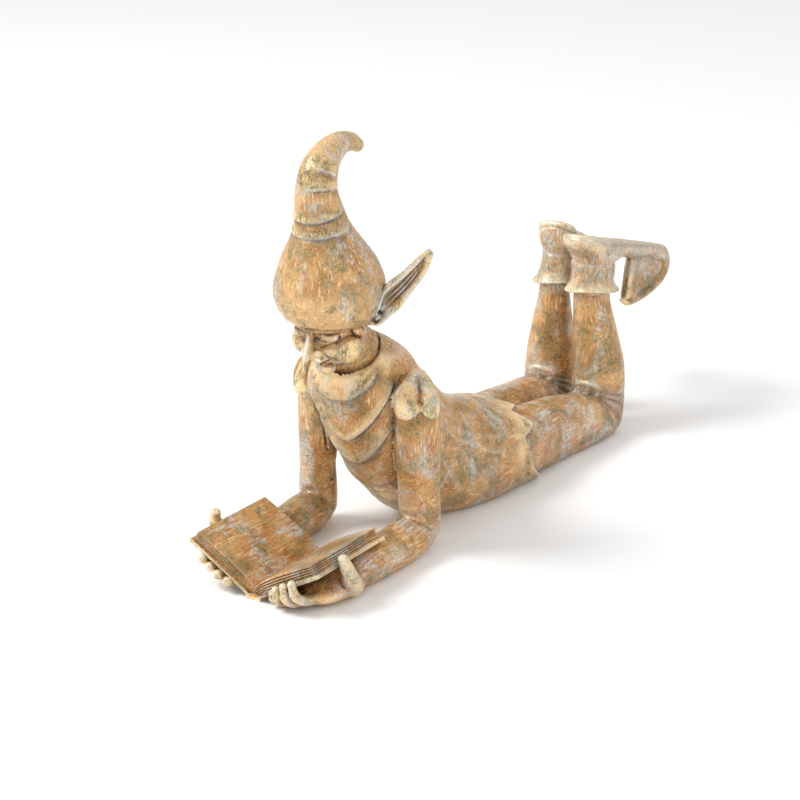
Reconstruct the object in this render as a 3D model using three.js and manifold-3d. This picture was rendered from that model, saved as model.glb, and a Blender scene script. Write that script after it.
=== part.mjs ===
// Garden statue of an elf that lies on its front and reads a book: one bronze casting, modelled as one solid.
// Millimetres, +Z up. The elf looks along -Y and its left hand is at +X. The origin is under the middle of
// the statue, on the plane that it rests on.
import * as THREE from "three";
import { mergeVertices } from "three/addons/utils/BufferGeometryUtils.js";
import Module from "manifold-3d";

const wasm = await Module();
wasm.setup();

// Driving dimensions. The figure is posed in a frame whose origin is on the ground between the elbows.
const figureScale = 1; // the whole statue, with every size below
const bookHeight = 86; // along the spine
const bookHalfWidth = 70; // one board, from the spine to the fore edge
const bookOpening = 29.5; // degrees that each half rises from the ground
const boardThickness = 3;
const pageThickness = 8.5; // the leaves on one half
const boardOverhang = 2; // that a board stands out past the leaves
const bookX = -8;
const bookFrontY = -138;
const petalThickness = 3; // that a sleeve's petals stand out from the arm
const hemStep = 2.8; // that the tunic's hem stands out from the hips
const cuffFlare = 5; // that a boot's turned-down cuff stands out from its shaft
const toeWeb = 8; // thickness of the blade that fills a curled toe
const baseDepth = 1.2; // how deep the underside is cut flat where it meets the ground

const degrees = Math.PI / 180;
const vector = (p) => new THREE.Vector3(...p);

// A closed geometry as a manifold-3d solid, turned face out if its rings run the other way round.
function solidOf(geometry) {
  geometry.deleteAttribute("normal");
  geometry.deleteAttribute("uv");
  const merged = mergeVertices(geometry, 1e-3);
  const triVerts = new Uint32Array(merged.index.array);
  const build = () =>
    new wasm.Manifold(
      new wasm.Mesh({ numProp: 3, vertProperties: merged.attributes.position.array, triVerts }),
    );
  const made = build();
  if (made.volume() > 0) return made;
  for (let i = 0; i < triVerts.length; i += 3)
    [triVerts[i + 1], triVerts[i + 2]] = [triVerts[i + 2], triVerts[i + 1]];
  return build();
}

// A sphere's net drawn over rings: ring(t, angle) is a point of the ring at t, from 0 to 1, and ends are
// the poles.
function net(ring, ends, around, along) {
  const geometry = new THREE.SphereGeometry(1, around, along + 2);
  const position = geometry.attributes.position;
  for (let row = 0; row <= along + 2; row++)
    for (let column = 0; column <= around; column++) {
      const angle = (2 * Math.PI * (column % around)) / around;
      const point =
        row === 0 ? ends[0] : row === along + 2 ? ends[1] : ring((row - 1) / along, angle);
      position.setXYZ(row * (around + 1) + column, point.x, point.y, point.z);
    }
  return solidOf(geometry);
}

// A point of the unit circle, whose lower half is squarer the more that fullness exceeds 2.
function sectionPoint(angle, fullness) {
  const power = Math.sin(angle) < 0 ? 2 / fullness : 1;
  const bent = (v) => Math.sign(v) * Math.abs(v) ** power;
  return [bent(Math.cos(angle)), bent(Math.sin(angle))];
}

// A loft through stations { at, side, up, taper }: side and up are the half axes of an ellipse, and taper
// makes it wider towards up. The ends bulge by a share of their own size, the same or [first, last].
// fullness(t) squares the underside.
function loft(stations, { around = 14, along = 10, bulge = 0.35, relief, fullness = () => 2 } = {}) {
  const curve = (key) => new THREE.CatmullRomCurve3(stations.map((s) => vector(s[key])));
  const [at, side, up] = ["at", "side", "up"].map(curve);
  const tapers = stations.map((s) => s.taper ?? 0);
  const taperAt = (t) => {
    const place = t * (tapers.length - 1);
    const low = Math.min(Math.floor(place), tapers.length - 2);
    return THREE.MathUtils.lerp(tapers[low], tapers[low + 1], place - low);
  };
  const ring = (t, angle) => {
    const [x, y] = sectionPoint(angle, fullness(t));
    const grown = relief ? relief(t, angle) : 1;
    return at
      .getPoint(t)
      .addScaledVector(side.getPoint(t), x * (1 + taperAt(t) * y) * grown)
      .addScaledVector(up.getPoint(t), y * grown);
  };
  const [first, last] = Array.isArray(bulge) ? bulge : [bulge, bulge];
  const pole = (t, inward, share) => {
    const end = at.getPoint(t);
    const out = end.clone().sub(at.getPoint(inward)).normalize();
    const size = Math.min(side.getPoint(t).length(), up.getPoint(t).length());
    return end.addScaledVector(out, share * size);
  };
  return net(ring, [pole(0, 0.02, first), pole(1, 0.98, last)], around, along);
}

// A limb: a loft whose sections stand square to its path. Each radius is one number, or
// [half width, half height].
function limb(points, radii, options = {}) {
  const path = new THREE.CatmullRomCurve3(points.map(vector));
  const reference = vector(options.reference ?? [1, 0, 0]);
  const stations = points.map((at, i) => {
    const along = path.getTangent(i / (points.length - 1));
    const side = reference.clone().addScaledVector(along, -reference.dot(along)).normalize();
    const up = along.clone().cross(side).normalize();
    const [a, b] = Array.isArray(radii[i]) ? radii[i] : [radii[i], radii[i]];
    return { at, side: side.multiplyScalar(a).toArray(), up: up.multiplyScalar(b).toArray() };
  });
  return loft(stations, options);
}

function ellipsoid(at, halves, around = 12, along = 8) {
  const geometry = new THREE.SphereGeometry(1, around, along);
  geometry.scale(...halves);
  geometry.translate(...at);
  return solidOf(geometry);
}

const union = (solids) => solids.reduce((a, b) => a.add(b));

// The tunic from hips to neck. Each section runs from a point on the chest to one on the back, in the
// YZ plane.
const sectionStation = ({ chest, back, half }) => ({
  at: [0, (chest[0] + back[0]) / 2, (chest[1] + back[1]) / 2],
  side: [half, 0, 0],
  up: [0, (back[0] - chest[0]) / 2, (back[1] - chest[1]) / 2],
});

const torsoStations = [
  { chest: [214, 1], back: [214, 53], half: 47 },
  { chest: [172, -2], back: [188, 64], half: 54 },
  { chest: [128, -3], back: [150, 79], half: 53 },
  { chest: [84, -2], back: [118, 90], half: 47 },
  { chest: [40, 13], back: [94, 102], half: 42 },
  { chest: [10, 40], back: [76, 117], half: 40 },
  { chest: [-14, 70], back: [58, 133], half: 41 },
  { chest: [-28, 100], back: [40, 149], half: 43 },
  { chest: [-38, 126], back: [26, 163], half: 43 },
  { chest: [-44, 144], back: [10, 174], half: 36 },
  { chest: [-44, 151], back: [-1, 180], half: 27 },
].map(sectionStation);
const fading = (t, first, last) => 1 - THREE.MathUtils.smoothstep(t, first, last);
const torsoFullness = (t) => 2 + 2 * fading(t, 0.12, 0.42);

const torso = () =>
  loft(torsoStations, { around: 18, along: 13, bulge: 0.05, fullness: torsoFullness });

// The cowl's hanging folds: each is a ridge that swings from one side of the chest to the other.
function drapery() {
  const folds = [
    { half: 28, top: 154, topY: -29, bottom: 135, bottomY: -42, radius: 3.2 },
    { half: 38, top: 146, topY: -18, bottom: 98, bottomY: -28, radius: 4.2 },
    { half: 38, top: 114, topY: -11, bottom: 78, bottomY: -16, radius: 3.8 },
    { half: 38, top: 76, topY: 15, bottom: 50, bottomY: 2, radius: 3.2 },
  ];
  const steps = 6;
  return union(
    folds.map(({ half, top, topY, bottom, bottomY, radius }) => {
      const points = Array.from({ length: steps + 1 }, (_, i) => {
        const across = (2 * i) / steps - 1;
        const hang = Math.sqrt(1 - 0.96 * across * across);
        return [half * across, topY + (bottomY - topY) * hang, top + (bottom - top) * hang];
      });
      const radii = points.map((_, i) => radius * (0.55 + 0.45 * Math.sin((Math.PI * i) / steps)));
      return limb(points, radii, { around: 5, along: 9, reference: [0, 0, 1] });
    }),
  );
}

// The tunic's hem is cut into leaves: the angle round the body, in degrees from the elf's left, and how far
// back the hem reaches there. The other half of the body mirrors it.
const hemLine = [
  [-90, 168],
  [-62, 170],
  [-35, 190],
  [-12, 172],
  [5, 160],
  [20.5, 156],
  [29, 172],
  [37.5, 183],
  [46, 176],
  [55.6, 166],
  [63, 182],
  [70, 195],
  [76, 180],
  [81, 162],
  [90, 180],
];

// The tunic's skirt: it leaves the body's skin and ends in a thin step at the hem.
function skirt() {
  const curve = (key) => new THREE.CatmullRomCurve3(torsoStations.map((s) => vector(s[key])));
  const [at, side, up] = ["at", "side", "up"].map(curve);
  const onBody = (t, angle, grow) => {
    const [x, y] = sectionPoint(angle, torsoFullness(t));
    const [wide, high] = [side.getPoint(t), up.getPoint(t)];
    return at
      .getPoint(t)
      .addScaledVector(wide, x * (1 + grow / wide.length()))
      .addScaledVector(high, y * (1 + grow / high.length()));
  };
  const last = hemLine.length - 1;
  const columns = 2 * last;
  const ring = (t, turn) => {
    const column = Math.round((turn / (2 * Math.PI)) * columns);
    const [bearing, hemY] = hemLine[column > last ? columns - column : column];
    const angle = (column > last ? 180 - bearing : bearing) * degrees;
    const y = hemY - (1 - t) * 42;
    let [low, high] = [0, 0.6]; // the body runs forward, to a lower y, as its share grows
    for (let i = 0; i < 20; i++) {
      const middle = (low + high) / 2;
      if (onBody(middle, angle, 0).y > y) low = middle;
      else high = middle;
    }
    return onBody(low, angle, -1 + (hemStep + 1) * t);
  };
  return net(ring, [vector([0, 130, 36]), vector([0, 158, 34])], columns, 2);
}

// One leg, bent at the knee, with the shin upright. Its sections' up turns from up along the thigh to back.
function leg(hipX, knee, ankle, girth) {
  const out = Math.sign(hipX);
  const calf = [(knee[0] + ankle[0]) / 2, (knee[1] + ankle[1]) / 2];
  const ankleRadius = 16.5 * girth;
  const calfRadius = 10 + 10 * girth;
  return loft(
    [
      { at: [hipX, 168, 34], side: [25, 0, 0], up: [0, 0, 28] },
      { at: [hipX + 1.5 * out, 205, 30], side: [27, 0, 0], up: [0, 0, 28] },
      { at: [(hipX + knee[0]) / 2, 252, 26.5], side: [25.5, 0, 0], up: [0, 0, 26.5] },
      { at: [knee[0], knee[1] - 32, 23.5], side: [25, 0, 0], up: [0, -3, 23.5] },
      { at: [knee[0], knee[1] - 8, 24.5], side: [25, 0, 0], up: [0, -18, 21] },
      { at: [knee[0], knee[1], 44], side: [24.5, 0, 0], up: [0, -23, 9] },
      { at: [knee[0], knee[1] + 1, 66], side: [23, 0, 0], up: [0, -23, 1] },
      { at: [calf[0], calf[1], 96], side: [calfRadius, 0, 0], up: [0, -calfRadius, 0] },
      { at: [ankle[0], ankle[1], 125], side: [ankleRadius, 0, 0], up: [0, -ankleRadius, 0] },
      { at: [ankle[0], ankle[1], 138], side: [ankleRadius, 0, 0], up: [0, -ankleRadius, 0] },
    ],
    { around: 12, along: 12, fullness: (t) => 2 + 2 * fading(t, 0.35, 0.6) },
  );
}

// A boot: shaft, flaring cuff, foot, and the long toe that curls down and back with a thinner blade inside
// the curl.
// Its side view is drawn with a along the sole from the heel and b as the depth under the sole.
function boot({ ankle, heel, turn, slope, lean, girth, heelCut }) {
  const ahead = new THREE.Vector3(Math.sin(turn * degrees), Math.cos(turn * degrees), 0);
  const across = new THREE.Vector3(ahead.y, -ahead.x, 0);
  const along = ahead.clone().multiplyScalar(Math.cos(slope * degrees));
  along.setZ(-Math.sin(slope * degrees));
  const up = across.clone().cross(along);
  const place = (a, b) => vector(heel).addScaledVector(along, a).addScaledVector(up, -b).toArray();
  // Each row: distance along the sole, depth of the shoe's upper and lower side, half width, taper.
  const foot = loft(
    [
      [-1, 1, 9, 8, 0.1],
      [3, 0, 13, 14.5, 0.15],
      [14, 0, 20, 18, 0.1],
      [34, 0, 34, 18.5, 0],
      [53, 0, 25, 18, 0.1],
      [74, 0, 17, 15.5, 0.2],
      [102, 0, 17, 13, 0.2],
      [126, 0, 17, 10.5, 0.2],
      [145, 0.5, 17, 9, 0.1],
      [160, 3, 16, 7.5, 0],
    ].map(([a, top, bottom, half, taper]) => ({
      at: place(a + heelCut * Math.max(0, 1 - a / 20), (top + bottom) / 2),
      side: across.clone().multiplyScalar(half).toArray(),
      up: up.clone().multiplyScalar((bottom - top) / 2).toArray(),
      taper,
    })),
    { around: 10, along: 11, bulge: 0.4 },
  );
  const curl = [
    [142, 9, 8.5],
    [158, 9.5, 8],
    [167, 18.5, 7],
    [162, 32, 6.5],
    [146, 43, 6],
    [127, 52.5, 5],
    [110, 58, 3.4],
    [99, 56, 1.6],
  ];
  const toe = limb(curl.map(([a, b]) => place(a, b)), curl.map((c) => c[2]), {
    around: 6,
    along: 8,
    bulge: 0.6,
    reference: across.toArray(),
  });
  const outline = new THREE.Shape();
  outline.moveTo(104, -10);
  outline.quadraticCurveTo(100, -19, 102, -29);
  outline.lineTo(103, -54);
  outline.quadraticCurveTo(135, -58, 158, -37);
  outline.quadraticCurveTo(174, -15, 157, -6);
  outline.closePath();
  const thickness = { depth: toeWeb, bevelEnabled: false, curveSegments: 4 };
  const blade = new THREE.ExtrudeGeometry(outline, thickness);
  blade.translate(0, 0, -toeWeb / 2);
  blade.applyMatrix4(new THREE.Matrix4().makeBasis(along, up, across).setPosition(...heel));
  const rise = (z) => [ankle[0], ankle[1] + (z - 130) * Math.tan(lean * degrees), z];
  const shaftOptions = { around: 10, along: 3, bulge: 0.1 };
  const shaftRadii = [18.5, 17.5, 18, 18].map((radius) => radius * girth);
  const shaft = limb([134, 148, 162, 176].map(rise), shaftRadii, shaftOptions);
  const corners = 4;
  const relief = (t, angle) => 1 + 0.07 * (1 - t) * Math.cos(corners * angle);
  const cuff = loft(
    [
      [134, 17.5 + cuffFlare],
      [136.5, 17 + cuffFlare],
      [142, 20],
      [150, 17.5],
    ].map(([z, radius]) => ({ at: rise(z), side: [radius * girth, 0, 0], up: [0, radius * girth, 0] })),
    { around: 16, along: 3, bulge: 0, relief },
  );
  return union([foot, toe, solidOf(blade), shaft, cuff]);
}

// One arm, from the shoulder down to the elbow on the ground and along the ground to the wrist.
function arm(shoulder, elbow, wrist) {
  const out = Math.sign(shoulder[0]);
  const broad = 34 * degrees; // the arm's oval section is broad along this bearing
  const between = (a, b, t) => a.map((v, i) => v + (b[i] - v) * t);
  const upper = [
    { at: shoulder, long: 15, short: 14 },
    { at: between(shoulder, elbow, 0.22), long: 17.5, short: 14.5 },
    { at: between(shoulder, elbow, 0.45), long: 17.5, short: 14.5 },
    { at: between(shoulder, elbow, 0.68), long: 16.5, short: 14.5 },
    { at: between(shoulder, elbow, 0.88), long: 16.5, short: 15.5 },
    { at: elbow, long: 15.5, short: 15 },
    { at: [elbow[0], elbow[1], 6], long: 10, short: 10 },
  ].map(({ at, long, short }) => ({
    at,
    side: [out * long * Math.cos(broad), long * Math.sin(broad), 0],
    up: [-out * short * Math.sin(broad), short * Math.cos(broad), 0],
  }));
  const forearm = limb(
    [
      [elbow[0], elbow[1] + 3, 17],
      between(elbow, wrist, 0.2),
      between(elbow, wrist, 0.45),
      between(elbow, wrist, 0.75),
      wrist,
    ],
    [13, 17.5, 17, 15, [13.5, 11.5]],
    { around: 10, along: 6, bulge: 0.5 },
  );
  return union([loft(upper, { around: 10, along: 8 }), forearm]);
}

// A hand under one half of the book, with a thumb that stands against the fore edge.
function hand({ palm, fingers, thumb }) {
  const options = { around: 5, along: 4, bulge: 0.7, reference: [0, 0, 1] };
  const digit = (points, radius) => limb(points, points.map((_, i) => radius * (1 - 0.08 * i)), options);
  return union([
    limb(palm, [[13.5, 11], [16.5, 10.5], [17, 7.5], [13, 5.5]], { around: 10, along: 4 }),
    ...fingers.map((points) => digit(points, 4.8)),
    digit(thumb, 6.2),
  ]);
}

// The open book. One half in section: the board, and on it the leaves, which swell out of the gutter.
function book() {
  const board = new THREE.Shape();
  board.moveTo(-1, 0);
  board.lineTo(bookHalfWidth, 0);
  board.lineTo(bookHalfWidth, boardThickness);
  board.lineTo(-1, boardThickness);
  const leafWidth = bookHalfWidth - boardOverhang;
  const leafTop = boardThickness + pageThickness;
  const leaves = new THREE.Shape();
  leaves.moveTo(-1, boardThickness - 0.5);
  leaves.lineTo(leafWidth, boardThickness - 0.5);
  leaves.lineTo(leafWidth - 1, leafTop);
  const swell = [leafWidth * 0.55, leafTop + 1, leafWidth * 0.16, leafTop + 3.5];
  leaves.bezierCurveTo(...swell, 4, boardThickness + 5);
  const half = (shape, length, side) => {
    const options = { depth: length, bevelEnabled: false, curveSegments: 6 };
    const geometry = new THREE.ExtrudeGeometry(shape, options);
    geometry.rotateX(90 * degrees); // the section stands in the XZ plane and is swept along -Y
    geometry.rotateY(-bookOpening * degrees);
    geometry.scale(side, 1, 1);
    geometry.translate(bookX, bookFrontY + bookHeight - (bookHeight - length) / 2, 0);
    return solidOf(geometry);
  };
  const spineEnds = [0, 0.5, 1].map((share) => [bookX, bookFrontY + share * bookHeight, 3]);
  const spineRadii = spineEnds.map(() => [6.5, 3.4]);
  const spine = limb(spineEnds, spineRadii, { around: 10, along: 2, bulge: 0 });
  const pageHeight = bookHeight - 2 * boardOverhang;
  const bothHalves = [1, -1].flatMap((side) => [
    half(board, bookHeight, side),
    half(leaves, pageHeight, side),
  ]);
  return union([spine, ...bothHalves]);
}

// The petals that hang over one shoulder.
function sleeve(shoulder) {
  const petals = 4;
  const reach = 17 + petalThickness;
  const ring = (t, angle) => {
    const lobe = Math.abs(Math.cos((petals * angle) / 2));
    const polar = t * (68 + 24 * lobe) * degrees;
    return new THREE.Vector3(
      shoulder[0] + reach * Math.sin(polar) * Math.cos(angle),
      shoulder[1] + reach * Math.sin(polar) * Math.sin(angle),
      shoulder[2] + reach * 1.1 * Math.cos(polar) - 13 * t,
    );
  };
  const pole = (z) => new THREE.Vector3(shoulder[0], shoulder[1], shoulder[2] + z);
  return net(ring, [pole(reach * 1.1), pole(-7)], 16, 4);
}

// The head is built upright about its own centre, facing -Y, and then nods over the book.
const headAt = [0, -46, 199];
const headNod = 23; // degrees
const headMatrix = new THREE.Matrix4()
  .makeTranslation(...headAt)
  .multiply(new THREE.Matrix4().makeRotationX(headNod * degrees));

const nose = [[0, -24.5, 5], [0, -29, -1], [0, -34, -6], [0, -39, -9.5]];
const mouth = [[-8.5, -23, -18], [0, -26.5, -21], [8.5, -23, -18]];
const brow = [[3, -25.5, 5.5], [12, -25, 6.4], [22, -16, 4]];
const lock = [[24, -8, 9], [27.5, -10, 1], [26, -13, -6]];

function head() {
  const both = (make) => [-1, 1].map(make);
  const mirrored = (points, side) => points.map(([x, y, z]) => [side * x, y, z]);
  return union([
    ellipsoid([0, 1, 3], [27, 27, 28], 12, 7),
    ellipsoid([0, -8, -17], [19.5, 17.5, 17], 11, 7),
    ellipsoid([0, -20, -29], [8, 7, 6.5], 8, 6),
    ...both((side) => ellipsoid([side * 17.5, -11.5, -14], [12, 11.5, 11.5], 9, 6)),
    limb(nose, [3.2, 3.9, 3.8, 2], { around: 8, along: 5 }),
    limb(mouth, [1.4, 2.6, 1.4], { around: 6, along: 4 }),
    ...both((side) => limb(mirrored(brow, side), [2.2, 2.8, 1.8], { around: 6, along: 4 })),
    ...both((side) => limb(mirrored(lock, side), [3.4, 3.8, 2], { around: 7, along: 5 })),
    limb([[0, 14, -45], [0, 7, -30], [0, 3, -14]], [21, 19, 19], { around: 12, along: 1 }),
    ...both(ear),
  ]).transform(headMatrix.elements);
}

// A long pointed ear, swept back, hollow on the side that faces forward.
function ear(side) {
  // The upper and the lower edge, and half the thickness, from the root to the tip.
  const rows = [
    { upper: [22, 3, 2.5], lower: [23.5, 2, -3.5], thick: 3.5 },
    { upper: [30.2, 5.7, 2.8], lower: [32.1, 4.4, -3.4], thick: 3.5 },
    { upper: [32.2, 8.5, 11.8], lower: [39.9, 4.1, -2.1], thick: 4 },
    { upper: [35.6, 14.5, 17.7], lower: [45.5, 9.6, 1.4], thick: 3.8 },
    { upper: [39.8, 24.3, 21.7], lower: [50.6, 19.1, 4.4], thick: 3.6 },
    { upper: [46.8, 38.7, 24.6], lower: [55.4, 35.6, 11.1], thick: 3.2 },
    { upper: [51.7, 51.9, 28], lower: [59.1, 50.3, 16.9], thick: 2.8 },
    { upper: [55.3, 61.8, 29.5], lower: [59.3, 62.8, 23.7], thick: 2.2 },
  ];
  const facing = vector([0.525, -0.583, 0.619]).normalize();
  const flip = (v) => [side * v.x, v.y, v.z];
  const section = ({ upper, lower, thick }, lift, share) => {
    const middle = vector(upper).add(vector(lower)).multiplyScalar(0.5);
    const halfWidth = vector(lower).sub(vector(upper)).multiplyScalar(0.5 * share);
    return {
      at: flip(middle.addScaledVector(facing, thick * lift)),
      side: flip(halfWidth),
      up: flip(facing.clone().multiplyScalar(thick)),
    };
  };
  const leaf = loft(rows.map((row) => section(row, 0, 1)), { around: 7, along: 7, bulge: 0.8 });
  const scoop = loft(rows.slice(2).map((row) => section(row, 1.1, 0.68)), { around: 7, along: 4 });
  return leaf.subtract(scoop);
}

// The hat: a full bulb over the brow that narrows, is creased where it narrows, and folds over backward at
// its tip.
function hat() {
  const rows = [
    [-50, 199, 32.5],
    [-49.5, 205, 37.5],
    [-48.5, 214, 41],
    [-48, 226, 42],
    [-50.5, 239, 38.5],
    [-53, 252, 32],
    [-55, 264, 25],
    [-57, 275, 20],
    [-60, 288, 17.3],
    [-62, 301, 15.5],
    [-58, 314, 14],
    [-47, 323.5, 11.3],
    [-33, 328.5, 8.8],
    [-19, 327.5, 6.9],
    [-10, 323, 5.2],
  ];
  const creases = [0.52, 0.6, 0.72];
  const relief = (t) => (Math.min(...creases.map((c) => Math.abs(t - c))) < 0.016 ? 0.95 : 1);
  const points = rows.map(([y, z]) => [0, y, z]);
  return limb(points, rows.map((row) => row[2]), { around: 13, along: 20, bulge: [0.1, 0.6], relief });
}

const shoulders = { left: [52, -10, 137], right: [-48, -2, 133] };
const elbows = { left: [43, 11, 16.5], right: [-53, 6, 17] };
const ankles = { left: [21, 325], right: [-20, 329] };
const boots = {
  left: { ankle: ankles.left, heel: [19, 296, 190], turn: 3.5, slope: 15, lean: -6, girth: 1, heelCut: 0 },
  right: {
    ankle: ankles.right,
    heel: [-19, 318, 195],
    turn: -6,
    slope: 25,
    lean: 15,
    girth: 0.85,
    heelCut: 12,
  },
};

// Places on the book that the hands are tied to. out is the distance in from the fore edge along the ground,
// behind the distance back from the front edge, and above the height over the board's underside.
const foreX = bookHalfWidth * Math.cos(bookOpening * degrees);
const onGround = (side) => (out, behind, z) => [bookX + side * (foreX - out), bookFrontY + behind, z];
const onBoard = (side) => (out, behind, above) =>
  onGround(side)(out, behind, (foreX - out) * Math.tan(bookOpening * degrees) + above);

function leftHand() {
  const [ground, board] = [onGround(1), onBoard(1)];
  return {
    wrist: ground(10.9, 52, 13),
    palm: [ground(10.9, 52, 13), ground(11.9, 40, 12.5), ground(16.9, 27, 10.5), ground(23.9, 17, 9)],
    fingers: [
      [ground(10.9, 20, 10), ground(13.9, 5, 12), board(17.9, -5, -5.3), board(20.9, -5, 5.4)],
      [ground(18.9, 18, 8), ground(22.9, 3, 9), board(25.9, -6, -4.8), board(27.9, -5.5, 5.3)],
      [ground(25.9, 18, 6), ground(31.9, 4, 6.5), board(33.9, -5, -3.8), board(35.4, -5, 5.1)],
    ],
    thumb: [ground(-0.1, 44, 14), ground(-6.1, 37, 21), board(-6.1, 32, -5.9), board(-1.6, 29, 6.6)],
  };
}

function rightHand() {
  const [ground, board] = [onGround(-1), onBoard(-1)];
  return {
    wrist: ground(20.9, 52, 13),
    palm: [ground(20.9, 54, 13), ground(19.9, 40, 12.5), ground(22.9, 26, 11), ground(26.9, 14, 10)],
    fingers: [
      [board(16.9, 28, -9.9), board(14.9, 12, -6), board(13.9, -1, -3.1)],
      [board(22.9, 26, -9.5), board(21.9, 10, -7.1), board(21.4, -2, -3.3)],
      [board(29.9, 26, -8.5), board(29.9, 10, -5.5), board(29.4, -2, -2.8)],
      [board(35.9, 26, -7.1), board(37.9, 11, -4), board(37.9, -1, -2)],
    ],
    thumb: [ground(8.9, 50, 15), ground(-1.1, 46, 22), board(-7.1, 42, -5.5), board(-4.1, 38, 6.2)],
  };
}

const hands = { left: leftHand(), right: rightHand() };

const standing = union([
  torso(),
  drapery(),
  skirt(),
  leg(23, [32, 322], ankles.left, boots.left.girth),
  leg(-22, [-26, 337], ankles.right, boots.right.girth),
  boot(boots.left),
  boot(boots.right),
  arm(shoulders.left, elbows.left, hands.left.wrist),
  arm(shoulders.right, elbows.right, hands.right.wrist),
  sleeve(shoulders.left),
  sleeve(shoulders.right),
  hand(hands.left),
  hand(hands.right),
  book(),
  head(),
  hat(),
]);

// The underside is flat where the statue stands: a block takes off what lies under the ground plane.
const block = new THREE.BoxGeometry(900, 1500, 200).translate(0, 100, baseDepth - 100);

function meshOf(solid, name, material) {
  const made = solid.getMesh();
  const geometry = new THREE.BufferGeometry();
  geometry.setAttribute("position", new THREE.BufferAttribute(new Float32Array(made.vertProperties), 3));
  geometry.setIndex(new THREE.BufferAttribute(new Uint32Array(made.triVerts), 1));
  geometry.scale(figureScale, figureScale, figureScale);
  geometry.computeVertexNormals();
  geometry.computeBoundingBox();
  const mesh = new THREE.Mesh(geometry, material);
  mesh.name = name;
  const middle = geometry.boundingBox.getCenter(new THREE.Vector3());
  mesh.position.set(-middle.x, -middle.y, -geometry.boundingBox.min.z);
  return mesh;
}

const bronze = new THREE.MeshStandardMaterial({ color: 0xa98751, roughness: 0.55, metalness: 0.35 });
const statue = new THREE.Group();
statue.add(meshOf(standing.subtract(solidOf(block)), "elf_statue", bronze));
export default statue;
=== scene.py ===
import math
import bmesh
import bpy
import numpy as np
from mathutils import Matrix, Vector
from mathutils.bvhtree import BVHTree


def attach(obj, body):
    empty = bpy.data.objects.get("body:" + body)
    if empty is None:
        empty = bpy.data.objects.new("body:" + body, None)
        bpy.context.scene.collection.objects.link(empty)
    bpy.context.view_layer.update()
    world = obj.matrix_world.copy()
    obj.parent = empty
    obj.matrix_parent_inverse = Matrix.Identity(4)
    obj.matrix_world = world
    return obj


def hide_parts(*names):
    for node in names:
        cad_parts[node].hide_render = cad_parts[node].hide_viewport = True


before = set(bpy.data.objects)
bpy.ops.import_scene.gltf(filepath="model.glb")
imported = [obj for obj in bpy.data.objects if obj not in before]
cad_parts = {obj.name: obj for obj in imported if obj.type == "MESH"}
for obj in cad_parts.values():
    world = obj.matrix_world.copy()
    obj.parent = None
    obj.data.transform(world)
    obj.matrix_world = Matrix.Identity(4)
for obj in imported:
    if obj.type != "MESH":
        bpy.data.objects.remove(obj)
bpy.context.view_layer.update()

# The statue is modelled in millimetres about a point on the ground between its elbows, looking along -Y,
# and then moved to the frame's own origin, which is under the middle of its box.
toFrame = (4.205, -159.674, -1.2)

# The voxel that fuses each skin, in millimetres, and the triangles that are kept of it.
fineness = {
    "figure": {"voxel": 0.95, "triangles": 116000},
    "head": {"voxel": 0.65, "triangles": 66000},
}


def unit(v):
    return v / np.linalg.norm(v)


# A smooth curve through points, as a function of its share from 0 to 1.
def curveThrough(points):
    p = [np.array(q, float) for q in points]
    last = len(p) - 1
    p = [2 * p[0] - p[1], *p, 2 * p[last] - p[last - 1]]

    def at(share):
        place = min(max(share, 0.0), 1.0) * last
        i = min(int(place), last - 1)
        w = place - i
        a, b, c, d = p[i : i + 4]
        before, mid, after = (np.linalg.norm(y - x) ** 0.5 for x, y in ((a, b), (b, c), (c, d)))
        mid = mid if mid > 1e-4 else 1.0
        before = before if before > 1e-4 else mid
        after = after if after > 1e-4 else mid
        t1 = ((b - a) / before - (c - a) / (before + mid) + (c - b) / mid) * mid
        t2 = ((c - b) / mid - (d - b) / (mid + after) + (d - c) / after) * mid
        return b + t1 * w + (3 * c - 3 * b - 2 * t1 - t2) * w**2 + (2 * b - 2 * c + t1 + t2) * w**3

    return at


def curveLength(curve, steps=24):
    points = [curve(i / steps) for i in range(steps + 1)]
    return sum(np.linalg.norm(b - a) for a, b in zip(points, points[1:]))


# Bridges rings into a skin; ringPoint(share, x, y) places the point x, y of the unit circle at share.
def skin(bm, shares, ringPoint, around):
    before = []
    for share in shares:
        ring = bmesh.ops.create_circle(bm, segments=around, radius=1)["verts"]
        edges = list({e for v in ring for e in v.link_edges})
        for v in ring:
            v.co = ringPoint(share, v.co.x, v.co.y)
        if before:
            bmesh.ops.bridge_loops(bm, edges=before + edges)
        before = edges
    return bm


def closed(bm):
    rims = [e for e in bm.edges if e.is_boundary]
    bmesh.ops.holes_fill(bm, edges=rims, sides=0)
    bmesh.ops.triangulate(bm, faces=[f for f in bm.faces if len(f.verts) > 4])
    bmesh.ops.recalc_face_normals(bm, faces=bm.faces)
    return bm


def added(parts, bm):
    mesh = bpy.data.meshes.new("part")
    closed(bm).to_mesh(mesh)
    bm.free()
    parts.append(mesh)


def fading(share, first, last):
    t = min(max((share - first) / (last - first), 0.0), 1.0)
    return 1 - t * t * (3 - 2 * t)


# Squares the lower half of the unit circle, the more that fullness exceeds 2.
def squarer(x, y, fullness):
    if y >= 0:
        return x, y
    power = 2 / fullness
    return math.copysign(abs(x) ** power, x), -(abs(y) ** power)


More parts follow.
